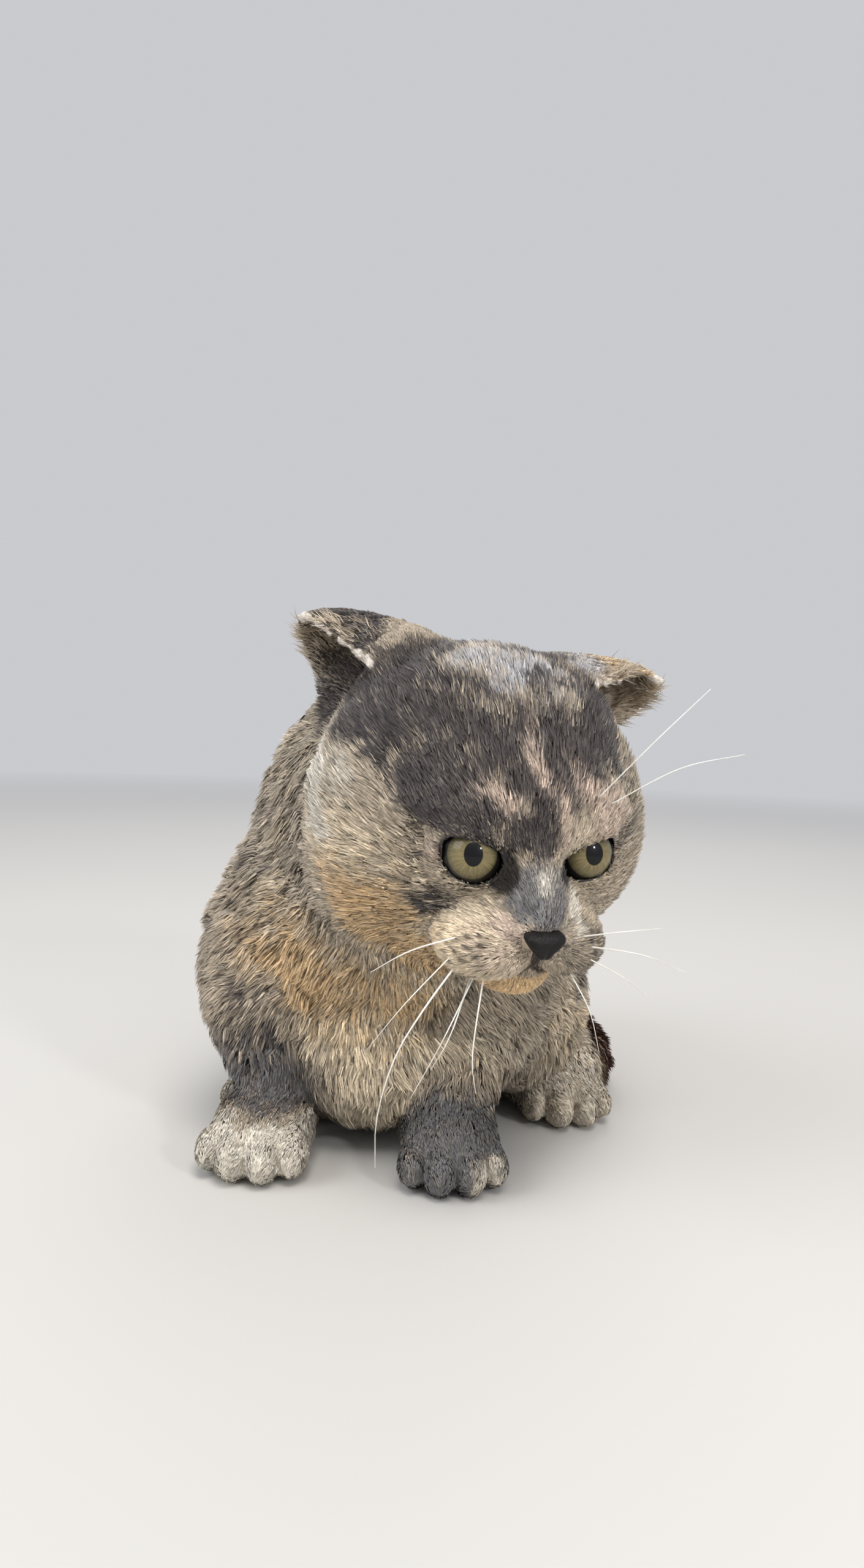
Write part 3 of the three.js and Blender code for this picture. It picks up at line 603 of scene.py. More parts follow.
def dark_lines(p):
    """the whisker rows, the cleft under the nose and the closed mouth, as dark hairs"""
    q = to_head(p)
    near = q[:, 0] > 38
    out = np.zeros(len(p))
    qn = q[near]
    v = np.zeros(len(qn))
    for f0, l0, u0 in FLECKS:
        for sd in (1, -1):
            r2 = ((qn[:, 0] - f0) / 3.2) ** 2 + ((qn[:, 1] - sd * l0) / 1.35) ** 2 + ((qn[:, 2] - u0) / 0.85) ** 2
            v = np.maximum(v, 0.85 * (1 - smooth(r2, 0.5, 1.6)))
    for line in (LIP_EDGE, [LIP_EDGE[0]] + [(f, -l, u) for f, l, u in LIP_EDGE[1:]]):
        v = np.maximum(v, 0.92 * smooth(-line_distance(qn, line), -1.7, -0.8))
    v = np.maximum(v, 0.85 * smooth(-line_distance(qn, CLEFT), -1.5, -0.6))
    out[near] = v
    return out


EDGE = ear_margin(sv)
HEADW = smooth(np.minimum(d_body, d_tail) - d_head, -9, 9)
HEADW = np.maximum(HEADW, EAR)
TAILW = smooth(d_body - d_tail, -2, 5) * (1 - HEADW) * smooth(sv[:, 1], 430, 455)


# ------------------------------------------------------------------ the lie of the coat
def comb_field(p):
    q = to_head(p)
    away = unit(q - np.array([67.0, 0, -13.0])) + np.array([-0.35, 0, 0.0])
    away[:, 2] -= 0.30 * smooth(-q[:, 2], -5, 25) * smooth(-q[:, 0], -40, 10)
    head = away @ HR
    body = np.tile([0.0, 0.62, -0.72], (len(p), 1))
    body[:, 0] += 0.25 * np.sign(p[:, 0] + 8) * smooth(np.abs(p[:, 0] + 8), 0, 45) * smooth(-p[:, 1], -430, -380)
    low = smooth(-p[:, 2], -62, -34)[:, None]
    limb = (smooth(np.abs(p[:, 0] + 60), 34, 22) + smooth(np.abs(p[:, 0] - 12), 30, 20)) * smooth(-p[:, 1], -430, -405)
    body = body * (1 - low * limb[:, None]) + low * limb[:, None] * np.array([0, -0.10, -1.0])
    for nm, (x, y, hd, w, l, h) in PAWS.items():
        a = math.radians(hd)
        f = np.array([math.sin(a), -math.cos(a), 0])
        c = np.array([x, y, 0]) - f * 0.5 * l
        dd = np.linalg.norm((p - c)[:, :2], axis=1)
        wgt = (smooth(-dd, -l * 0.75, -l * 0.45) * smooth(-p[:, 2], -34, -20))[:, None]
        body = body * (1 - wgt) + wgt * (f + np.array([0, 0, -0.35]))
    i = np.argmin(((p[:, None, :] - TAIL_FINE[None, :, :3]) ** 2).sum(2), axis=1)
    tg = np.gradient(TAIL_FINE[:, :3], axis=0)
    tg /= np.linalg.norm(tg, axis=1)[:, None]
    tail = tg[i]
    return head * HEADW[:, None] + body * (1 - HEADW)[:, None], tail


comb, tail_dir = comb_field(sv)
comb = comb * (1 - TAILW)[:, None] + tail_dir * TAILW[:, None]
for k, (o, h, q) in ear_d.items():
    b, e1, w, n, length = ear_frame(EARS[k])
    wgt = (smooth(-o, -3, 0.5) * smooth(q[:, 0], 0, 10))[:, None]
    comb = unit(comb) * (1 - wgt) + wgt * e1
swirl = np.stack([noise(sv, 17, 3 + k) for k in range(3)], 1) * 0.30 + np.stack([noise(sv, 6, 13 + k) for k in range(3)], 1) * 0.22
comb = unit(comb) + swirl * (0.4 + 0.6 * (1 - HEADW))[:, None]
comb -= (comb * SN).sum(1)[:, None] * SN
COMB = unit(comb)

# ------------------------------------------------------------------ markings
# soft blots: place, radii, strength.  Head blots are in the head's frame: forward, cat's left, up.
TAUPE = np.array([0.410, 0.342, 0.258])
SLATE = np.array([0.060, 0.051, 0.050])
CREAM = np.array([0.770, 0.650, 0.475])
GOLD = np.array([0.670, 0.465, 0.250])
BLUE = np.array([0.180, 0.174, 0.176])
MIST = np.array([0.385, 0.385, 0.405])
ROSE = np.array([0.540, 0.425, 0.345])
PALE = np.array([0.700, 0.650, 0.560])
UMBER = np.array([0.185, 0.098, 0.066])
INK = np.array([0.010, 0.008, 0.008])


def blot(q, at, radii, tilt=0.0, soft=0.35):
    x = q - np.asarray(at, float)
    if tilt:
        c, s = math.cos(math.radians(tilt)), math.sin(math.radians(tilt))
        x = np.stack([x[:, 0], x[:, 1] * c + x[:, 2] * s, -x[:, 1] * s + x[:, 2] * c], 1)
    r = np.sqrt(((x / np.asarray(radii, float)) ** 2).sum(1))
    return 1 - smooth(r, 1 - soft, 1 + soft)


def markings(p):
    """how much of each coat colour there is at each point"""
    warp = np.stack([noise(p, 14, 31 + k) for k in range(3)], 1) * 3.0 + np.stack([noise(p, 5, 41 + k) for k in range(3)], 1) * 1.6
    w = p + warp
    q = to_head(w)
    h = HEADW
    f, l, u = q[:, 0], q[:, 1], q[:, 2]
    m = {}
    # slate over the forehead and temples, broken up towards the top of the head
    side_r = smooth(u + 0.30 * (f - 5), 13, 29)
    side_l = smooth(u + 0.30 * (f - 5), 23, 38)
    slate = np.where(l < 0, side_r, side_l) * smooth(f, -40, -20)
    slate = np.maximum(slate, blot(q, (-8, -44, 30), (22, 16, 16)))
    slate = np.maximum(slate, blot(q, (51, -3, 14), (12, 9, 9)) * 0.9)
    slate = np.maximum(slate, blot(q, (46, -27, -11), (14, 10, 5.5), -15) * 0.62)
    m["blue"] = h * np.clip(blot(q, (60, 0, -2), (12, 7.0, 12), soft=0.5) * 0.95, 0, 1)
    slate = np.maximum(slate, blot(q, (60, 15, -22), (12, 10, 9)) * 0.50)
    top = smooth(u + 0.25 * f, 39, 49)
    slate = np.maximum(slate, blot(q, (6, -46, 34), (24, 16, 13)))
    slate = np.maximum(slate, blot(q, (30, -36, 25), (14, 14, 12)))
    slate *= 1 - 0.86 * top * (0.55 + 0.45 * smooth(noise(p, 8, 37), -0.35, 0.25))
    slate *= 1 + 0.30 * noise(p, 7, 38)
    m["mist"] = h * top * (0.74 + 0.4 * noise(p, 10, 39)) * smooth(f, -44, -26)
    m["slate"] = np.clip(slate, 0, 1) * h
    soft = 0.62
    m["rose"] = h * np.clip(
        blot(q, (26.5, -2, 44), (8, 3.6, 9), soft=soft) * 0.80 + blot(q, (37, -0.5, 35), (8, 3.0, 7), soft=soft) * 0.70 + blot(q, (43, -1, 29.5), (7, 3.0, 5), soft=soft) * 0.62
        + blot(q, (48, 6, 20), (9, 2.1, 9), soft=soft) * 0.75 + blot(q, (46, 2.5, 26), (7, 3.5, 5), soft=soft) * 0.45
        + blot(q, (45.6, -16.8, 22.3), (9, 7.5, 4.6), soft=soft) * 0.75 + blot(q, (48, -11, 18), (8, 5, 4.5), soft=soft) * 0.50
        + blot(q, (45, 25, 19), (11, 9, 10), soft=soft) * 0.90 + blot(q, (44, 14, 26), (9, 6, 6), soft=soft) * 0.55 + blot(q, (40, 13.5, 31.6), (8, 6, 6), soft=soft) * 0.42
        + blot(q, (42, -28, 4), (9, 7, 4), soft=soft) * 0.65 + blot(q, (61, -8.5, -8), (7, 4.5, 8), soft=soft) * 0.70 + blot(q, (61, -12, -19), (12, 12, 8), soft=soft) * 0.50
        + blot(q, (42, 32, 6), (10, 6, 5), soft=soft) * 0.4, 0, 1)
    # the pale spot on the temple below the right ear and the small pale spot high on the nose bridge are painted
    # highlights; the other blots here are pale markings
    m["pale"] = h * np.clip(blot(q, (10, -55, 14), (13, 10, 9), soft=0.6) * 0.55 + blot(q, (58.5, 11.5, -8), (8, 4, 9)) * 0.9
                            + blot(q, (58, 1.6, 3), (6, 3, 7)) * 0.55 + blot(q, (61, -22, -24), (10, 9, 5), soft=0.6) * 0.25, 0, 1)
    cheek = smooth(-u, -14, 6) * smooth(-f, -66, -44)
    m["cream"] = h * np.clip(cheek * 0.46 + blot(q, (60, -18, -22), (14, 14, 10), soft=0.5) * 0.80 + blot(q, (22, -50, -4), (20, 14, 14), soft=0.6) * 0.20
                             + blot(q, (37, -38, -29), (14, 13, 9), soft=0.7) * 0.5, 0, 1)
    m["gold"] = h * np.clip(blot(q, (58, -3, -37), (16, 18, 6)) * 1.0 + cheek * 0.16 + blot(q, (41, -39, -19), (16, 12, 12), soft=0.7) * 0.62
                            + blot(q, (26, -50, -22), (16, 12, 10), soft=0.7) * 0.30 + blot(q, (37, -38, -29), (14, 13, 9), soft=0.7) * 0.42 + blot(q, (58, -20, -24), (12, 10, 8), soft=0.6) * 0.22, 0, 1)
    m["umber"] = h * np.clip(blot(q, (43, 33, -9), (14, 12, 14)) * 0.22, 0, 1)
    # body
    b = 1 - h
    x, y, z = w[:, 0], w[:, 1], w[:, 2]
    front = smooth(-y, -420, -392)
    both = w.copy()
    mid = HEAD_AT[0] + (w[:, 1] - HEAD_AT[1]) * -0.35          # the head's middle plane, for the same ruff on the far side
    both[:, 0] = np.where(w[:, 0] > mid, 2 * mid - w[:, 0], w[:, 0])
    band = line_distance(both, [(-43, 382, 172), (-43, 378, 160), (-40, 358, 146), (-38, 346, 132), (-30, 342, 114), (-19, 343, 101), (-4, 346, 90), (8, 350, 84)])
    low = smooth(-z, -134, -104)
    ruff = smooth(-band, -14 - 6 * low, -7 - 2 * low)
    warm = smooth(-z, -142, -108)
    m["cream"] = np.maximum(m["cream"], ruff * (1.0 - 0.45 * warm))
    m["pale"] = np.maximum(m["pale"], ruff * 0.96 * (1 - warm))
    m["gold"] = np.maximum(m["gold"], ruff * (0.08 + 0.76 * warm))
    m["slate"] *= 1 - 0.95 * ruff
    m["mist"] = m["mist"] * (1 - ruff)
    m["cream"] = np.clip(m["cream"] + b * (0.80 * blot(w, (-26, 374, 60), (22, 26, 22), soft=0.6) + 0.45 * blot(w, (-6, 376, 50), (16, 22, 16), soft=0.6)
                                           + 0.50 * blot(w, (-18, 386, 28), (20, 26, 18), soft=0.6) + 0.55 * blot(w, (-62, 388, 46), (7, 14, 12))
                                           + 0.40 * blot(w, (22, 386, 50), (14, 16, 14)) + 0.30 * blot(w, (58, 425, 60), (26, 30, 26))
                                           + 0.42 * smooth(noise(p, 13, 51) + 0.6 * noise(p, 5.5, 52), 0.0, 0.8)), 0, 1)
    m["gold"] = np.clip(m["gold"] + b * (0.42 * blot(w, (-48, 378, 90), (20, 22, 20), soft=0.8) + 0.42 * blot(w, (-32, 372, 80), (20, 20, 13), soft=0.7)
                                         + 0.42 * blot(w, (-20, 376, 62), (28, 22, 16), soft=0.7) + 0.26 * blot(w, (56, 436, 52), (26, 34, 26), soft=0.7)
                                         + 0.30 * smooth(noise(p, 21, 61) + 0.5 * noise(p, 7, 62), 0.15, 0.9)), 0, 1)
    back = b * smooth(y, 396, 440) * smooth(z, 34, 60)
    m["cream"] = np.clip(m["cream"] + back * 0.50 * smooth(noise(p, 27, 93) + 0.4 * noise(p, 8, 94), 0.10, 0.65), 0, 1)
    m["gold"] = np.clip(m["gold"] + back * 0.42 * smooth(noise(p, 31, 95) + 0.4 * noise(p, 9, 96), 0.12, 0.65), 0, 1)
    m["slate"] = np.clip(m["slate"] + back * 0.50 * smooth(noise(p, 33, 97) + 0.4 * noise(p, 10, 98), 0.05, 0.60), 0, 1)
    throat = np.maximum(blot(w, (-6, 358, 83), (18, 16, 11), soft=0.6), blot(w, (-1, 368, 73), (16, 16, 11), soft=0.6))
    m["cream"] = np.clip(m["cream"] + 0.55 * throat, 0, 1)
    m["gold"] = np.clip(m["gold"] + 0.45 * throat, 0, 1)
    dark_leg = blot(w, (-60, 394, 33), (23, 28, 19), soft=0.6) * smooth(z, 12, 24)
    m["blue"] = np.clip(m["blue"] + b * 0.55 * dark_leg, 0, 1)
    # the slate term that grows towards the floor behind the forelegs is painted shade under the belly and haunches; the
    # other slate terms are markings
    m["slate"] = np.clip(m["slate"] + b * (0.92 * dark_leg +blot(w, (13, 368, 16), (26, 34, 22), soft=0.5) * 0.62 + blot(w, (13, 352, 8), (24, 18, 12), soft=0.5) * 0.20 + 0.45 * blot(w, (-58, 384, 62), (16, 16, 14))
                                           + 0.28 * blot(w, (14, 384, 66), (16, 16, 14), soft=0.7) + 0.45 * smooth(-z, -26, -6) * smooth(y, 420, 445)
                                           + 0.26 * blot(w, (3, 376, 68), (14, 14, 12), soft=0.7) + 0.34 * smooth(noise(p, 11, 71) + 0.5 * noise(p, 27, 72), 0.0, 0.7) * smooth(z, 30, 60)), 0, 1)
    m["blue"] = np.clip(m["blue"] + b * 0.85 * blot(w, (13, 366, 14), (26, 34, 24), soft=0.4), 0, 1)
    paw_r = 0.94 * smooth(-z, -23, -17) * blot(w, (-62, 374, 10), (30, 36, 40), soft=0.2)
    paw_l_toe = blot(w, (27, 352, 8), (9, 14, 14))
    paw_hl = blot(w, (64, 432, 10), (28, 44, 24))
    paw_hr = blot(w, (-68, 430, 10), (26, 40, 24))
    m["pale"] = np.clip(m["pale"] + b * (paw_r * 1.0 + paw_l_toe * 0.8 + paw_hl * 0.55 + paw_hr * 0.6), 0, 1)
    m["cream"] = np.clip(m["cream"] + b * (paw_hl + paw_hr) * 0.6, 0, 1)
    m["slate"] *= 1 - np.clip(b * (paw_r + paw_l_toe * 0.8 + 0.9 * paw_hl + 0.9 * paw_hr), 0, 1)
    m["blue"] *= 1 - b * paw_l_toe * 0.8
    m["umber"] = np.clip(m["umber"] + TAILW * 0.92, 0, 1)
    # ears
    m["rose"] = m["rose"] * (1 - EAR)
    q_l = ear_d["left"][2]
    gold_ear = EAR * smooth(p[:, 0], 40, 52)
    m["cream"] = np.maximum(m["cream"], 0.50 * gold_ear)
    m["gold"] = np.maximum(m["gold"], 0.50 * gold_ear)
    m["slate"] = m["slate"] * (1 - gold_ear)
    dark_ear = EAR * smooth(-p[:, 0], 10, 22)
    m["slate"] = np.maximum(m["slate"], dark_ear * (0.80 + 0.22 * noise(p, 8, 77)))
    m["cream"] *= 1 - 0.8 * dark_ear
    m["gold"] *= 1 - 0.7 * dark_ear
    for key in m:
        m[key] = m[key] * (1 - EDGE)
    m["pale"] = np.maximum(m["pale"], EDGE)
    return m


def coat_colour(m, r):
    """mixes the colours; r in 0..1 makes each tuft fall to one side or the other, so the coat is brindled"""
    t = 0.5 + (r - 0.5) * 0.75
    c = np.tile(TAUPE, (len(r), 1))
    for key, col, s in (("cream", CREAM, 0.36), ("gold", GOLD, 0.36), ("mist", MIST, 0.34), ("slate", SLATE, 0.30), ("rose", ROSE, 0.36), ("blue", BLUE, 0.3),
                        ("pale", PALE, 0.30), ("umber", UMBER, 0.3)):
        k = smooth(m[key], t - s, t + s)
        k = np.where(m[key] > 0.02, k * np.minimum(1, m[key] * 1.5 + 0.1), 0)
        c = c * (1 - k)[:, None] + col * k[:, None]
    return c


M_SKIN = markings(sv)
print("markings", round(time.time() - T0, 1), "s")
# bare or nearly bare places: lids, the slot of the mouth, inside the ears
RIM = np.zeros(len(sv))
TEAR = tear_patch(sv)
NEAR_EYE = np.full(len(sv), 30.0)
for e in EYES.values():
    o, g = opening(e, sv)
    r = np.linalg.norm(g, axis=1)
    front = (g[:, 2] > 0) & (r < 19)
    NEAR_EYE = np.where(front, np.minimum(NEAR_EYE, np.maximum(o, 0)), NEAR_EYE)
    RIM = np.maximum(RIM, front * (r < EYE_RAD + 4) * smooth(-o, -1.6, -0.8))
mouth = np.min([line_distance(QH, l) for l in MOUTH], axis=0)
LIPS = smooth(-mouth, -2.1, -1.1) * HEADW
HOLLOW = np.zeros(len(sv))
for k, (o, h, q) in ear_d.items():
    HOLLOW = np.maximum(HOLLOW, smooth(-h, -1.6, 0.2) * smooth(q[:, 0], 0, 5) * (o < 2) * (1 - EDGE))

# ------------------------------------------------------------------ the skin's unwrap
bpy.ops.object.select_all(action="DESELECT")
skin.select_set(True)
bpy.context.view_layer.objects.active = skin
skin.data.uv_layers.new(name="OFBake")
bpy.ops.object.mode_set(mode="EDIT")
bpy.ops.mesh.select_all(action="SELECT")
bpy.ops.uv.smart_project(angle_limit=math.radians(66), island_margin=0.002)
bpy.ops.object.mode_set(mode="OBJECT")
me = skin.data
LV = np.empty(len(me.loops), np.int32)
me.loops.foreach_get("vertex_index", LV)
UV = np.empty(len(me.loops) * 2, np.float32)
me.uv_layers["OFBake"].data.foreach_get("uv", UV)
UV = UV.reshape(-1, 2)
LQ = np.arange(len(LV)).reshape(-1, 4)          # all faces have four corners
TRI = np.concatenate([LQ[:, [0, 1, 2]], LQ[:, [0, 2, 3]]])
TV = LV[TRI]
print("unwrap", round(time.time() - T0, 1), "s")

SHORT_COAT = smooth(-DEPTH, -5.0, -3.0)          # where the coat is short: face, paws
# the skin takes the coat's colours, darker by about a fifth as painted shade under the coat, less where the coat is
# short
skin_rgb = coat_colour(M_SKIN, 0.5 + 0.5 * noise(sv, 3.0, 81)) * (0.80 + 0.08 * SHORT_COAT + 0.08 * noise(sv, 2.2, 82))[:, None]
skin_rgb = skin_rgb * (1 - RIM)[:, None] + INK * RIM[:, None]
skin_rgb = skin_rgb * (1 - 0.85 * TEAR)[:, None] + INK * (0.85 * TEAR)[:, None]
skin_rgb = skin_rgb * (1 - 0.9 * LIPS)[:, None] + INK * (0.9 * LIPS)[:, None]
# painted shade: the hollow inside each ear is darkened towards a dark brown
skin_rgb = skin_rgb * (1 - 0.6 * HOLLOW)[:, None] + np.array([0.13, 0.080, 0.060]) * (0.6 * HOLLOW)[:, None]
skin_rgb = skin_rgb * (1 - 0.85 * EDGE)[:, None] + PALE * (0.85 * EDGE)[:, None]
point_colour(me, "Col", skin_rgb)
point_value(me, "wet", np.clip(RIM + LIPS * 0.5, 0, 1))

# ------------------------------------------------------------------ the coat
area = 0.5 * np.linalg.norm(np.cross(sv[TV[:, 1]] - sv[TV[:, 0]], sv[TV[:, 2]] - sv[TV[:, 0]]), axis=1)
SHORT = SHORT_COAT
DENS = 1.0 + 0.9 * HEADW + 2.6 * SHORT + 2.2 * EAR
low = smooth(-sv[:, 2], -9, -2) * (SN[:, 2] < -0.3)
DENS *= (1 - 0.85 * low) * (sv[:, 2] > 0.8)
DENS *= (1 - np.clip(RIM * 1.4, 0, 1)) * (1 - np.clip(LIPS * 1.2, 0, 1)) * (1 - 0.6 * TEAR) * (1 - 0.75 * HOLLOW) * (1 + 0.9 * EDGE)
for e in EYES.values():                           # nothing grows behind the eyeball
    DENS *= np.linalg.norm(sv - e["at"], axis=1) > EYE_RAD + 0.5
qn = (QH - NOSE_AT) / np.array([5.5, 8.2, 5.6])
DENS *= (np.linalg.norm(qn, axis=1) > 1.0) | (HEADW < 0.5)
weight = area * DENS[TV].mean(1)
cum = np.cumsum(weight)
pick = np.searchsorted(cum, (np.arange(TUFTS) + RNG.random(TUFTS)) / TUFTS * cum[-1])
pick = np.clip(pick, 0, len(TV) - 1)
b1, b2 = RNG.random(TUFTS), RNG.random(TUFTS)
fold = b1 + b2 > 1
b1, b2 = np.where(fold, 1 - b1, b1), np.where(fold, 1 - b2, b2)
W3 = np.stack([1 - b1 - b2, b1, b2], 1)
print("tufts", TUFTS, "over", round(float(area.sum())), "mm2, per mm2", round(TUFTS / float(area.sum()), 2))


def at_roots(a):
    a = np.asarray(a, float)
    if a.ndim == 1:
        return (a[TV[pick]] * W3).sum(1)
    return (a[TV[pick]] * W3[:, :, None]).sum(1)


root, nrm = at_roots(sv), unit(at_roots(SN))
way, depth = at_roots(COMB), at_roots(DEPTH)
headw, ear, tailw, short = at_roots(HEADW), at_roots(EAR), at_roots(TAILW), at_roots(SHORT)
hollow, tear, edge = at_roots(HOLLOW), at_roots(TEAR), at_roots(EDGE)
near_eye, near_mouth = at_roots(NEAR_EYE), at_roots(np.where(HEADW > 0.4, mouth, 30.0))
near_nose = at_roots(np.where(HEADW > 0.4, np.linalg.norm((QH - NOSE_AT) / np.array([1.0, 1.5, 1.0]), axis=1) - 4.5, 30.0))
root_uv = (UV[TRI[pick]] * W3[:, :, None]).sum(1)


def cells(p, size, seed):
    """which clump each tuft belongs to"""
    j = np.stack([noise(p, size * 2.1, seed + k) for k in range(3)], 1) * size * 0.45
    i = np.floor((p + j) / size).astype(np.int64)
    key = (i[:, 0] + 4096) * 8192 * 8192 + (i[:, 1] + 4096) * 8192 + (i[:, 2] + 4096)
    u, inv = np.unique(key, return_inverse=True)
    return inv.ravel(), len(u)


def mean_of(inv, n, v):
    c = np.bincount(inv, minlength=n)
    return (np.stack([np.bincount(inv, v[:, k], n) for k in range(v.shape[1])], 1) / c[:, None])[inv]


big, nb = cells(root, 6.5, 101)
small, ns = cells(root, 2.3, 111)
b_rand = RNG.normal(size=(nb, 3))[big]
s_rand = RNG.normal(size=(ns, 3))[small]
calm = (1 - 0.75 * tailw) * (1 - 0.5 * short)
way = unit(way + b_rand * ((0.14 * (1 - headw) + 0.10) * calm)[:, None] + s_rand * (0.12 * calm)[:, None] + RNG.normal(size=(TUFTS, 3)) * 0.13)
way = unit(way - (way * nrm).sum(1)[:, None] * nrm)
depth = np.maximum(depth, 0.9)
stand = 1 - 0.30 * RNG.random(TUFTS) + 0.10 * b_rand[:, 0] * (1 - headw) + 0.06 * s_rand[:, 1]
rise = depth * np.clip(stand, 0.5, 1.12)
reach = 0.64 * depth + 1.5
reach = np.where(ear > 0.5, np.clip(reach * 0.7, 2.2, 4.5), reach)
reach *= 0.75 + 0.5 * RNG.random(TUFTS)
tight = np.minimum(np.minimum(np.maximum(near_eye, 0), np.maximum(near_mouth - 1.0, 0)), np.maximum(near_nose, 0))
rise = np.minimum(rise, 0.45 + 0.45 * tight)
reach = np.where(edge > 0.3, 2.0 + 0.8 * RNG.random(TUFTS), reach)
rise = np.where(edge > 0.3, rise + 0.25, rise)
reach = np.minimum(reach, 0.9 + 0.60 * tight)
tuft_in_ear = (hollow > 0.35) & (edge < 0.1) & (RNG.random(TUFTS) < 0.22)
reach = np.where(tuft_in_ear, 6.0 + 4.5 * RNG.random(TUFTS), reach)
rise = np.where(tuft_in_ear, 2.0, rise)
p0 = root - nrm * 0.35
p1 = root + nrm * (rise * 0.84)[:, None] + way * (reach * 0.34)[:, None]
p2 = root + nrm * rise[:, None] + way * reach[:, None]
for inv, n, pull in ((big, nb, 0.08), (small, ns, 0.26)):
    m2 = mean_of(inv, n, p2)
    m1 = mean_of(inv, n, p1)
    k = pull * (1 - 0.55 * short)[:, None]
    p2 = p2 + (m2 - p2) * k
    p1 = p1 + (m1 - p1) * k * 0.45
width = 0.82 - 0.20 * headw
width = width * (1 - short) + 0.46 * short
width = np.where(ear > 0.4, 0.50, width)
width *= 0.7 + 0.6 * RNG.random(TUFTS)
ang = RNG.normal(size=TUFTS) * 0.42
side = np.cross(way, nrm)
side = side * np.cos(ang)[:, None] + nrm * np.sin(ang)[:, None]
hw = (side * width[:, None]) * 0.5
verts = np.stack([p0 - hw, p0 + hw, p1 - hw * 0.85, p1 + hw * 0.85, p2], 1)
verts[:, :, 2] = np.maximum(verts[:, :, 2], 0.35)
mix_n = unit(nrm + 0.22 * s_rand + 0.16 * RNG.normal(size=(TUFTS, 3)))

m_root = {k: at_roots(v) for k, v in M_SKIN.items()}
r_tuft = np.clip(0.5 + 0.30 * RNG.normal(size=TUFTS) + 0.10 * s_rand[:, 0] + 0.10 * b_rand[:, 1], 0, 1)
rgb = coat_colour(m_root, r_tuft)
rgb *= np.clip(1 + 0.16 * RNG.normal(size=TUFTS) + 0.05 * s_rand[:, 2], 0.55, 1.6)[:, None]
mid = 0.5 * (p1 + p2)
tear = np.maximum(tear_patch(mid), tear)
rgb = rgb * (1 - 0.95 * tear)[:, None] + INK * (0.95 * tear)[:, None]
along = np.array([0.0, 0.0, 0.55, 0.55, 1.0])
rgb = np.where(tuft_in_ear[:, None], TAUPE * 1.25, rgb)
k = smooth(np.maximum(ear_margin(mid), 0.8 * edge), 0.25, 0.6)[:, None]
rgb = rgb * (1 - k) + np.array([0.80, 0.73, 0.65]) * k
k = np.maximum(dark_lines(0.4 * root + 0.6 * mid), 0.92 * smooth(-near_mouth, -2.5, -1.6))[:, None]
rgb = rgb * (1 - k) + np.array([0.036, 0.024, 0.020]) * k
rgb5 = np.repeat(rgb[:, None, :], 5, 1)
tick = np.clip(1 + (0.26 * RNG.normal(size=TUFTS) + 0.08 * s_rand[:, 0]) * (1 - 0.5 * short), 0.5, 1.9)
rgb5[:, 4] *= tick[:, None]
rgb5[:, 2:4] *= (0.5 + 0.5 * tick)[:, None, None]

PIECES = int(math.ceil(TUFTS / 62000))
group = np.digitize(np.arange(TUFTS), np.linspace(0, TUFTS, PIECES + 1)[1:-1])
coat = []
off = np.array([[-0.0010, -0.0014], [0.0010, -0.0014], [-0.0009, 0.0], [0.0009, 0.0], [0.0, 0.0014]])
for g in range(PIECES):
    i = np.nonzero(group == g)[0]
    base = np.arange(len(i))[:, None] * 5
    quads = base + np.array([0, 1, 3, 2])
    tris = base + np.array([2, 3, 4])
    ob = make_mesh("coat_%d" % (g + 1), metres(verts[i].reshape(-1, 3)), [quads, tris])
    cm = ob.data
    point_colour(cm, "Col", rgb5[i].reshape(-1, 3))
    # the along value starts higher where the coat is short, so the painted root shade is weaker there
    start = 0.55 * short[i][:, None]
    point_value(cm, "along", (start + (1 - start) * along[None]).ravel())
    cm.uv_layers.new(name="OFBake")
    uv = np.clip(root_uv[i][:, None, :] + off[None], 0.0005, 0.9995).reshape(-1, 2)
    idx = np.concatenate([quads.ravel(), tris.ravel()])
    cm.uv_layers["OFBake"].data.foreach_set("uv", uv[idx].astype(np.float32).ravel())
    cm.normals_split_custom_set_from_vertices(np.repeat(mix_n[i], 5, 0).astype(np.float32))
    coat.append(ob)
print("coat", sum(len(o.data.polygons) for o in coat), "faces", round(time.time() - T0, 1), "s")


# ------------------------------------------------------------------ materials
def material(name):
    m = bpy.data.materials.new(name)
    m.use_nodes = True
    nt = m.node_tree
    nt.nodes.clear()
    out = nt.nodes.new("ShaderNodeOutputMaterial")
    b = nt.nodes.new("ShaderNodeBsdfPrincipled")
    nt.links.new(b.outputs[0], out.inputs[0])
    return m, nt, b


def node(nt, kind, **sets):
    n = nt.nodes.new(kind)
    for k, v in sets.items():
        setattr(n, k, v)
    return n


def mixed(nt, blend, fac, a, b):
    """colour mix; a and b are sockets or colours, fac a socket or a number"""
    n = node(nt, "ShaderNodeMix", data_type="RGBA", blend_type=blend)
    for s, v in ((n.inputs[0], fac), (n.inputs[6], a), (n.inputs[7], b)):
        if isinstance(v, bpy.types.NodeSocket):
            nt.links.new(v, s)
        elif isinstance(v, (tuple, list)):
            s.default_value = (*v, 1)
        else:
            s.default_value = v
    return n.outputs[2]


def ramp(nt, src, stops):
    n = node(nt, "ShaderNodeValToRGB")
    el = n.color_ramp.elements
    while len(el) < len(stops):
        el.new(0.5)
    for e, (pos, col) in zip(el, stops):
        e.position = pos
        e.color = (*col, 1) if isinstance(col, (tuple, list)) else (col, col, col, 1)
    nt.links.new(src, n.inputs[0])
    return n.outputs[0]


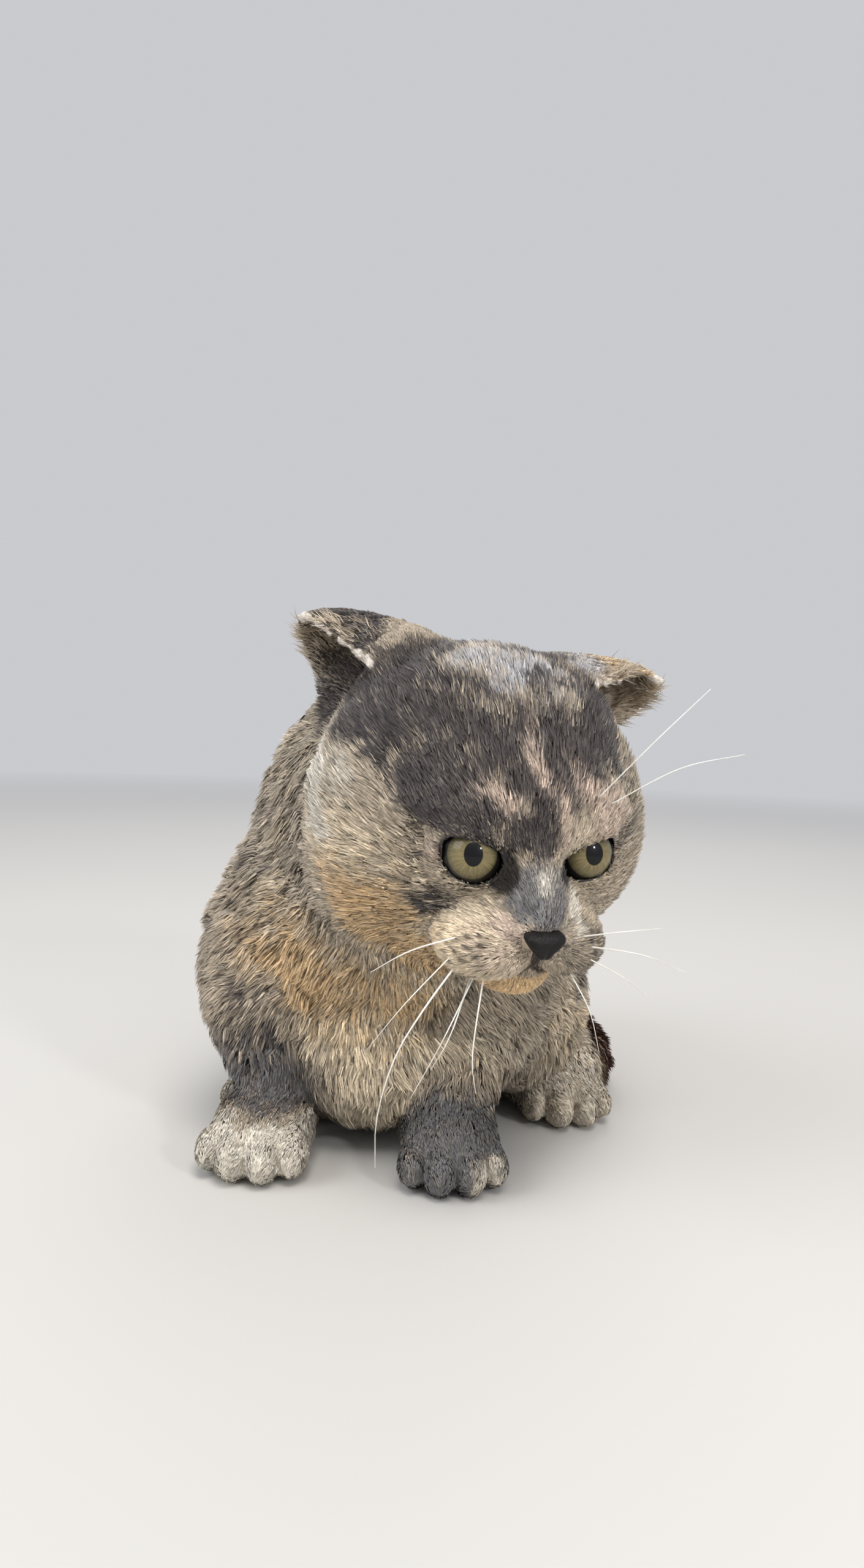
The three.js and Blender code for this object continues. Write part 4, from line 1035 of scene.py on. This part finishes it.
def noise_tex(nt, scale, detail=3.0, vec=None, rough=0.5):
    n = node(nt, "ShaderNodeTexNoise")
    n.inputs["Scale"].default_value = scale
    n.inputs["Detail"].default_value = detail
    n.inputs["Roughness"].default_value = rough
    if vec is None:
        tc = node(nt, "ShaderNodeTexCoord")
        vec = tc.outputs["Object"]
    nt.links.new(vec, n.inputs["Vector"])
    return n.outputs[0]


coat_mat, nt, bs = material("coat fur")
col = node(nt, "ShaderNodeAttribute", attribute_name="Col").outputs["Color"]
alo = node(nt, "ShaderNodeAttribute", attribute_name="along").outputs["Fac"]
# painted shade at the roots of the tufts, darker towards the skin; the lighter tips are ticking, the coat's own colour
root_shade_tip_tick = ramp(nt, alo, [(0.0, 0.60), (0.45, 0.90), (0.85, 1.0), (1.0, 1.10)])
c = mixed(nt, "MULTIPLY", 1.0, col, root_shade_tip_tick)
fine = ramp(nt, noise_tex(nt, 900, 2.0), [(0.3, 0.80), (0.7, 1.16)])
c = mixed(nt, "MULTIPLY", 1.0, c, fine)
nt.links.new(c, bs.inputs["Base Color"])
bs.inputs["Roughness"].default_value = 0.72
bs.inputs["Specular IOR Level"].default_value = 0.22
bs.inputs["Sheen Weight"].default_value = 0.12
bs.inputs["Sheen Roughness"].default_value = 0.5
for o in coat:
    o.data.materials.append(coat_mat)

skin_mat, nt, bs = material("skin under the coat")
col = node(nt, "ShaderNodeAttribute", attribute_name="Col").outputs["Color"]
wet = node(nt, "ShaderNodeAttribute", attribute_name="wet").outputs["Fac"]
fine = ramp(nt, noise_tex(nt, 700, 4.0), [(0.3, 0.72), (0.7, 1.22)])
nt.links.new(mixed(nt, "MULTIPLY", 1.0, col, fine), bs.inputs["Base Color"])
rough = ramp(nt, wet, [(0.0, 0.8), (1.0, 0.28)])
nt.links.new(rough, bs.inputs["Roughness"])
bump = node(nt, "ShaderNodeBump")
bump.inputs["Strength"].default_value = 0.35
bump.inputs["Distance"].default_value = 0.0006
nt.links.new(noise_tex(nt, 1100, 3.0), bump.inputs["Height"])
nt.links.new(bump.outputs[0], bs.inputs["Normal"])
skin.data.materials.append(skin_mat)


# ------------------------------------------------------------------ the eyes
def eyeball(name, e):
    """a sphere with a slightly bulging cornea, its +Z along the gaze"""
    nu, nv = 96, 64
    th = np.linspace(0, math.pi, nv + 1)
    ph = np.arange(nu) * 2 * math.pi / nu
    T, P = np.meshgrid(th[1:-1], ph, indexing="ij")
    r = EYE_RAD + 0.55 * np.exp(-(T / 0.62) ** 4)
    pts = np.stack([r * np.sin(T) * np.cos(P), r * np.sin(T) * np.sin(P), r * np.cos(T)], -1).reshape(-1, 3)
    top = [[0, 0, EYE_RAD + 0.55]]
    bot = [[0, 0, -EYE_RAD]]
    pts = np.concatenate([pts, top, bot])
    n = (nv - 1) * nu
    i = np.arange(nu)
    j = (i + 1) % nu
    quads = np.concatenate([np.stack([k * nu + i, (k + 1) * nu + i, (k + 1) * nu + j, k * nu + j], 1) for k in range(nv - 2)])
    tris = np.concatenate([np.stack([np.full(nu, n), i, j], 1), np.stack([np.full(nu, n + 1), (nv - 2) * nu + j, (nv - 2) * nu + i], 1)])
    ob = make_mesh(name, pts / 1000.0, [quads, tris])
    z = e["gaze"]
    x = np.cross([0, 0, 1.0], z)
    x /= np.linalg.norm(x)
    y = np.cross(z, x)
    m = Matrix.Identity(4)
    for k in range(3):
        m[k][0], m[k][1], m[k][2] = x[k], y[k], z[k]
        m[k][3] = (e["at"][k] - ORIGIN[k]) / 1000.0
    ob.matrix_world = m
    return ob


eye_mat, nt, bs = material("eye with a yellow green iris")
tc = node(nt, "ShaderNodeTexCoord").outputs["Object"]
sep = node(nt, "ShaderNodeSeparateXYZ")
nt.links.new(tc, sep.inputs[0])


def maths(nt, op, a, b=None, clamp=False):
    n = node(nt, "ShaderNodeMath", operation=op, use_clamp=clamp)
    for s, v in ((n.inputs[0], a), (n.inputs[1], b)):
        if v is None:
            continue
        if isinstance(v, bpy.types.NodeSocket):
            nt.links.new(v, s)
        else:
            s.default_value = v
    return n.outputs[0]


X, Y, Z = sep.outputs
x2, y2 = maths(nt, "MULTIPLY", X, X), maths(nt, "MULTIPLY", Y, Y)
rad = maths(nt, "SQRT", maths(nt, "ADD", x2, y2))
iris_r = 0.0081
rr = maths(nt, "DIVIDE", rad, iris_r)                       # 1 at the iris's edge
px = maths(nt, "DIVIDE", X, 0.0031)
py = maths(nt, "DIVIDE", Y, 0.0040)
pr = maths(nt, "SQRT", maths(nt, "ADD", maths(nt, "MULTIPLY", px, px), maths(nt, "MULTIPLY", py, py)))
ang = maths(nt, "ARCTAN2", Y, X)
comb_xyz = node(nt, "ShaderNodeCombineXYZ")
nt.links.new(maths(nt, "MULTIPLY", maths(nt, "COSINE", ang), 1.0), comb_xyz.inputs[0])
nt.links.new(maths(nt, "MULTIPLY", maths(nt, "SINE", ang), 1.0), comb_xyz.inputs[1])
nt.links.new(maths(nt, "MULTIPLY", rr, 0.16), comb_xyz.inputs[2])
fib = noise_tex(nt, 16, 4.0, comb_xyz.outputs[0], 0.62)
base = ramp(nt, rr, [(0.0, (0.215, 0.170, 0.078)), (0.50, (0.225, 0.182, 0.086)), (0.80, (0.205, 0.170, 0.084)), (0.94, (0.110, 0.092, 0.048)),
                     (0.985, (0.012, 0.011, 0.008)), (1.0, (0.010, 0.008, 0.006))])
fibre = ramp(nt, fib, [(0.30, 0.58), (0.55, 1.0), (0.72, 1.42)])
iris = mixed(nt, "MULTIPLY", 1.0, base, fibre)
pup = ramp(nt, pr, [(0.0, 0.0), (0.93, 0.0), (1.06, 1.0)])
iris = mixed(nt, "MIX", pup, (0.003, 0.003, 0.004), iris)
# painted shade: the iris is darker towards its top, standing in for the upper lid's shadow
lid_shade_on_iris = ramp(nt, maths(nt, "ADD", maths(nt, "MULTIPLY", Y, 60.0), 0.5), [(0.34, 1.0), (0.60, 0.74), (0.82, 0.30)])
iris = mixed(nt, "MULTIPLY", 1.0, iris, lid_shade_on_iris)
nt.links.new(iris, bs.inputs["Base Color"])
bs.inputs["Roughness"].default_value = 0.4
bs.inputs["Specular IOR Level"].default_value = 0.1
bs.inputs["Coat Weight"].default_value = 0.6
bs.inputs["Coat Roughness"].default_value = 0.03
bs.inputs["Coat IOR"].default_value = 1.36
eyes = {}
for k, e in EYES.items():
    eyes[k] = eyeball("eyeball_" + k, e)
    eyes[k].data.materials.append(eye_mat)


# ------------------------------------------------------------------ the nose
def nose_field(p):
    q = to_head(p)
    x = q - NOSE_AT
    t = np.clip((x[:, 2] + 4.6) / 9.2, 0, 1)
    wide = 8.9 * (0.13 + 0.87 * t ** 0.9)
    y = x / np.stack([np.full(len(x), 4.5), wide, np.full(len(x), 4.7)], 1)
    k0 = (np.abs(y) ** 2.7).sum(1) ** (1 / 2.7)
    d = (k0 - 1) * 4.2
    for s in (1, -1):
        c = line_distance(q, [(69.5, 2.4 * s, -17.6), (67.8, 4.4 * s, -16.6), (66.0, 6.6 * s, -14.8)])
        d = smax(d, 1.05 - c, 0.7)
    c = line_distance(q, [(69.6, 0, -15.4), (69.0, 0, -18.0), (66.5, 0, -21.5)])
    return smax(d, 0.55 - c, 0.8)


cn = from_head(NOSE_AT)
st = 0.42 * coarse
AXN = [spaced((c - 10, c + 10, st)) for c in cn]
nv, nq = nets(grid_values(nose_field, AXN), AXN)
used = np.unique(nq)
rm = -np.ones(len(nv), int)
rm[used] = np.arange(len(used))
nv, nq = relax(nv[used], rm[nq], 2, 0.5), rm[nq]
nose = make_mesh("nose_leather", metres(nv), [nq])
nn = np.empty(len(nv) * 3, np.float32)
nose.data.vertices.foreach_get("normal", nn)
if ((nn.reshape(-1, 3) * (nv - cn)).sum(1)).mean() < 0:
    nose.data.flip_normals()
nose_mat, nt, bs = material("dark nose leather")
vor = node(nt, "ShaderNodeTexVoronoi")
vor.inputs["Scale"].default_value = 1500
tcn = node(nt, "ShaderNodeTexCoord").outputs["Object"]
nt.links.new(tcn, vor.inputs["Vector"])
tone = ramp(nt, noise_tex(nt, 240, 3.0, tcn), [(0.3, (0.004, 0.0035, 0.0035)), (0.7, (0.012, 0.010, 0.010))])
nt.links.new(tone, bs.inputs["Base Color"])
bs.inputs["Roughness"].default_value = 0.5
bs.inputs["Specular IOR Level"].default_value = 0.22
bump = node(nt, "ShaderNodeBump")
bump.inputs["Strength"].default_value = 0.5
bump.inputs["Distance"].default_value = 0.0003
nt.links.new(vor.outputs["Distance"], bump.inputs["Height"])
nt.links.new(bump.outputs[0], bs.inputs["Normal"])
nose.data.materials.append(nose_mat)


# ------------------------------------------------------------------ whiskers
WHISKERS = [
    ([(11.4, 323.0, 101.8), (-4.7, 318.0, 97.5), (-17.3, 326.0, 88.5)], 0.32, 0.12),
    ([(9.9, 326.4, 92.1), (-0.4, 318.0, 78.9), (-8.6, 316.0, 64.3), (-13.6, 318.0, 44.7), (-13.9, 324.0, 26.4)], 0.36, 0.12),
    ([(15.8, 329.4, 88.1), (6.0, 322.0, 68.3), (-3.4, 328.0, 47.7)], 0.28, 0.10),
    ([(18.5, 326.3, 89.1), (15.6, 322.0, 64.6), (17.2, 326.0, 50.7)], 0.32, 0.11),
    ([(14.9, 338.5, 85.5), (8.4, 320.0, 70.9), (2.7, 324.0, 58.4)], 0.28, 0.10),
    ([(9.1, 324.0, 96.4), (-6.2, 318.0, 80.6), (-17.5, 326.0, 63.9)], 0.24, 0.09),
    ([(49.0, 331.2, 101.0), (61.5, 326.0, 104.0), (75.8, 334.0, 104.1)], 0.30, 0.10),
    ([(50.9, 332.5, 97.9), (69.0, 328.0, 96.4), (85.2, 338.0, 89.1)], 0.28, 0.10),
    ([(50.5, 333.0, 94.6), (62.9, 330.0, 88.8), (73.9, 338.0, 80.1)], 0.26, 0.10),
    ([(46.0, 333.7, 90.0), (52.9, 330.0, 77.5), (58.0, 338.0, 61.6)], 0.24, 0.10),
    ([(54.0, 334.1, 146.1), (69.9, 324.0, 165.5), (87.4, 332.0, 181.6)], 0.25, 0.09),
    ([(58.4, 336.5, 143.8), (77.5, 326.0, 156.2), (99.2, 332.0, 161.2)], 0.22, 0.09),
]


def whisker(points, r0, r1, sides=6, n=15):
    p = smooth_line(np.array(points, float), max(2, n // (len(points) - 1)))
    t = np.gradient(p, axis=0)
    t = unit(t)
    a = np.cross(t, [0.3, 0.5, 0.8])
    a = unit(a)
    b = np.cross(t, a)
    k = np.linspace(0, 1, len(p))
    rad = r0 + (r1 - r0) * k
    ph = np.arange(sides) * 2 * math.pi / sides
    ring = p[:, None] + rad[:, None, None] * (np.cos(ph)[None, :, None] * a[:, None] + np.sin(ph)[None, :, None] * b[:, None])
    v = np.concatenate([ring.reshape(-1, 3), [p[-1] + t[-1] * 0.3]])
    i = np.arange(sides)
    j = (i + 1) % sides
    quads = np.concatenate([np.stack([k * sides + i, k * sides + j, (k + 1) * sides + j, (k + 1) * sides + i], 1) for k in range(len(p) - 1)])
    m = (len(p) - 1) * sides
    tris = np.stack([m + i, m + j, np.full(sides, len(v) - 1)], 1)
    return v, quads, tris


wv, wq, wt, at = [], [], [], 0
for pts, r0, r1 in WHISKERS:
    v, q4, t3 = whisker(pts, r0, r1)
    wv.append(v)
    wq.append(q4 + at)
    wt.append(t3 + at)
    at += len(v)
whiskers = make_mesh("whiskers", metres(np.concatenate(wv)), [np.concatenate(wq), np.concatenate(wt)])
wm, nt, bs = material("whisker hair")
nt.links.new(ramp(nt, noise_tex(nt, 160, 2.0), [(0.3, (0.72, 0.68, 0.60)), (0.7, (0.90, 0.88, 0.82))]), bs.inputs["Base Color"])
bs.inputs["Roughness"].default_value = 0.35
whiskers.data.materials.append(wm)

# ------------------------------------------------------------------ pieces and bodies
FLESH = ["face", "head", "neck", "trunk", "rump", "paw_front_right", "foreleg_right", "paw_front_left", "foreleg_left",
         "paw_hind_left", "thigh_left", "paw_hind_right", "thigh_right", "tail_base", "tail_middle", "tail_tip", "ear_left", "ear_right"]
for o in [skin, nose, whiskers] + coat + list(eyes.values()):
    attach(o, "root")
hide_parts(*FLESH)
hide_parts("eye_left")
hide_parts("eye_right")
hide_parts("nose")

# ------------------------------------------------------------------ floor, light and camera
fl = bpy.data.meshes.new("floor")
fl.from_pydata([(-12, -12, 0), (12, -12, 0), (12, 12, 0), (-12, 12, 0)], [], [(0, 1, 2, 3)])
floor = bpy.data.objects.new("floor", fl)
bpy.context.scene.collection.objects.link(floor)
fm, nt, bs = material("pale floor")
tcf = node(nt, "ShaderNodeTexCoord").outputs["Object"]
ln = node(nt, "ShaderNodeVectorMath", operation="LENGTH")
nt.links.new(tcf, ln.inputs[0])
metres_out = maths(nt, "MULTIPLY", ln.outputs["Value"], 0.2)
near_tone = ramp(nt, metres_out, [(0.10, (0.56, 0.55, 0.53)), (0.62, (0.0, 0.0, 0.0))])
nt.links.new(mixed(nt, "MULTIPLY", 1.0, near_tone, ramp(nt, noise_tex(nt, 2.0, 2.0, tcf), [(0.3, 0.985), (0.7, 1.0)])), bs.inputs["Base Color"])
nt.links.new(ramp(nt, metres_out, [(0.10, (0.0, 0.0, 0.0)), (0.62, (0.589, 0.595, 0.62))]), bs.inputs["Emission Color"])
bs.inputs["Emission Strength"].default_value = 1.0
bs.inputs["Roughness"].default_value = 1.0
bs.inputs["Specular IOR Level"].default_value = 0.0
fl.materials.append(fm)

world = bpy.data.worlds.new("studio")
bpy.context.scene.world = world
world.use_nodes = True
bg = world.node_tree.nodes["Background"]
bg.inputs[0].default_value = (0.95, 0.96, 1.0, 1)
bg.inputs[1].default_value = 0.62


def softbox(name, at, size, power, colour, to=(0, -0.05, 0.11)):
    d = bpy.data.lights.new(name, "AREA")
    d.shape = "RECTANGLE"
    d.size, d.size_y = size
    d.energy = power
    d.color = colour
    o = bpy.data.objects.new(name, d)
    bpy.context.scene.collection.objects.link(o)
    o.location = at
    o.rotation_euler = (Vector(to) - Vector(at)).to_track_quat("-Z", "Y").to_euler()
    return o


softbox("key", (0.15, -0.95, 1.75), (0.9, 0.9), 24, (1.0, 0.96, 0.91))
softbox("fill", (-1.25, -0.75, 1.05), (1.0, 1.0), 13, (0.95, 0.97, 1.0))
softbox("spark", (0.735, -0.967, 0.61), (0.12, 0.12), 4.0, (1.0, 1.0, 1.0), to=(0.02, -0.13, 0.13))
softbox("back", (0.2, 1.3, 1.3), (1.2, 0.8), 8, (1.0, 0.98, 0.95))

cam = bpy.data.cameras.new("camera")
cam.sensor_fit = "AUTO"
cam.sensor_width = 36
cam.lens = 23.906
cam.clip_start = 0.01
camera = bpy.data.objects.new("camera", cam)
bpy.context.scene.collection.objects.link(camera)
th, roll = math.radians(2.86), math.radians(1.96)
fw = Vector((0, math.cos(th), -math.sin(th)))
up = Vector((0, math.sin(th), math.cos(th)))
rt = Vector((1, 0, 0))
cu = math.cos(roll) * up - math.sin(roll) * rt
cr = math.cos(roll) * rt + math.sin(roll) * up
m = Matrix.Identity(4)
for k in range(3):
    m[k][0], m[k][1], m[k][2] = cr[k], cu[k], -fw[k]
    m[k][3] = ((0, 0, 165)[k] - ORIGIN[k]) / 1000.0
camera.matrix_world = m
bpy.context.scene.camera = camera
bpy.context.scene.view_settings.view_transform = "Standard"

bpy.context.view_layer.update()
print("scene ready", round(time.time() - T0, 1), "s")
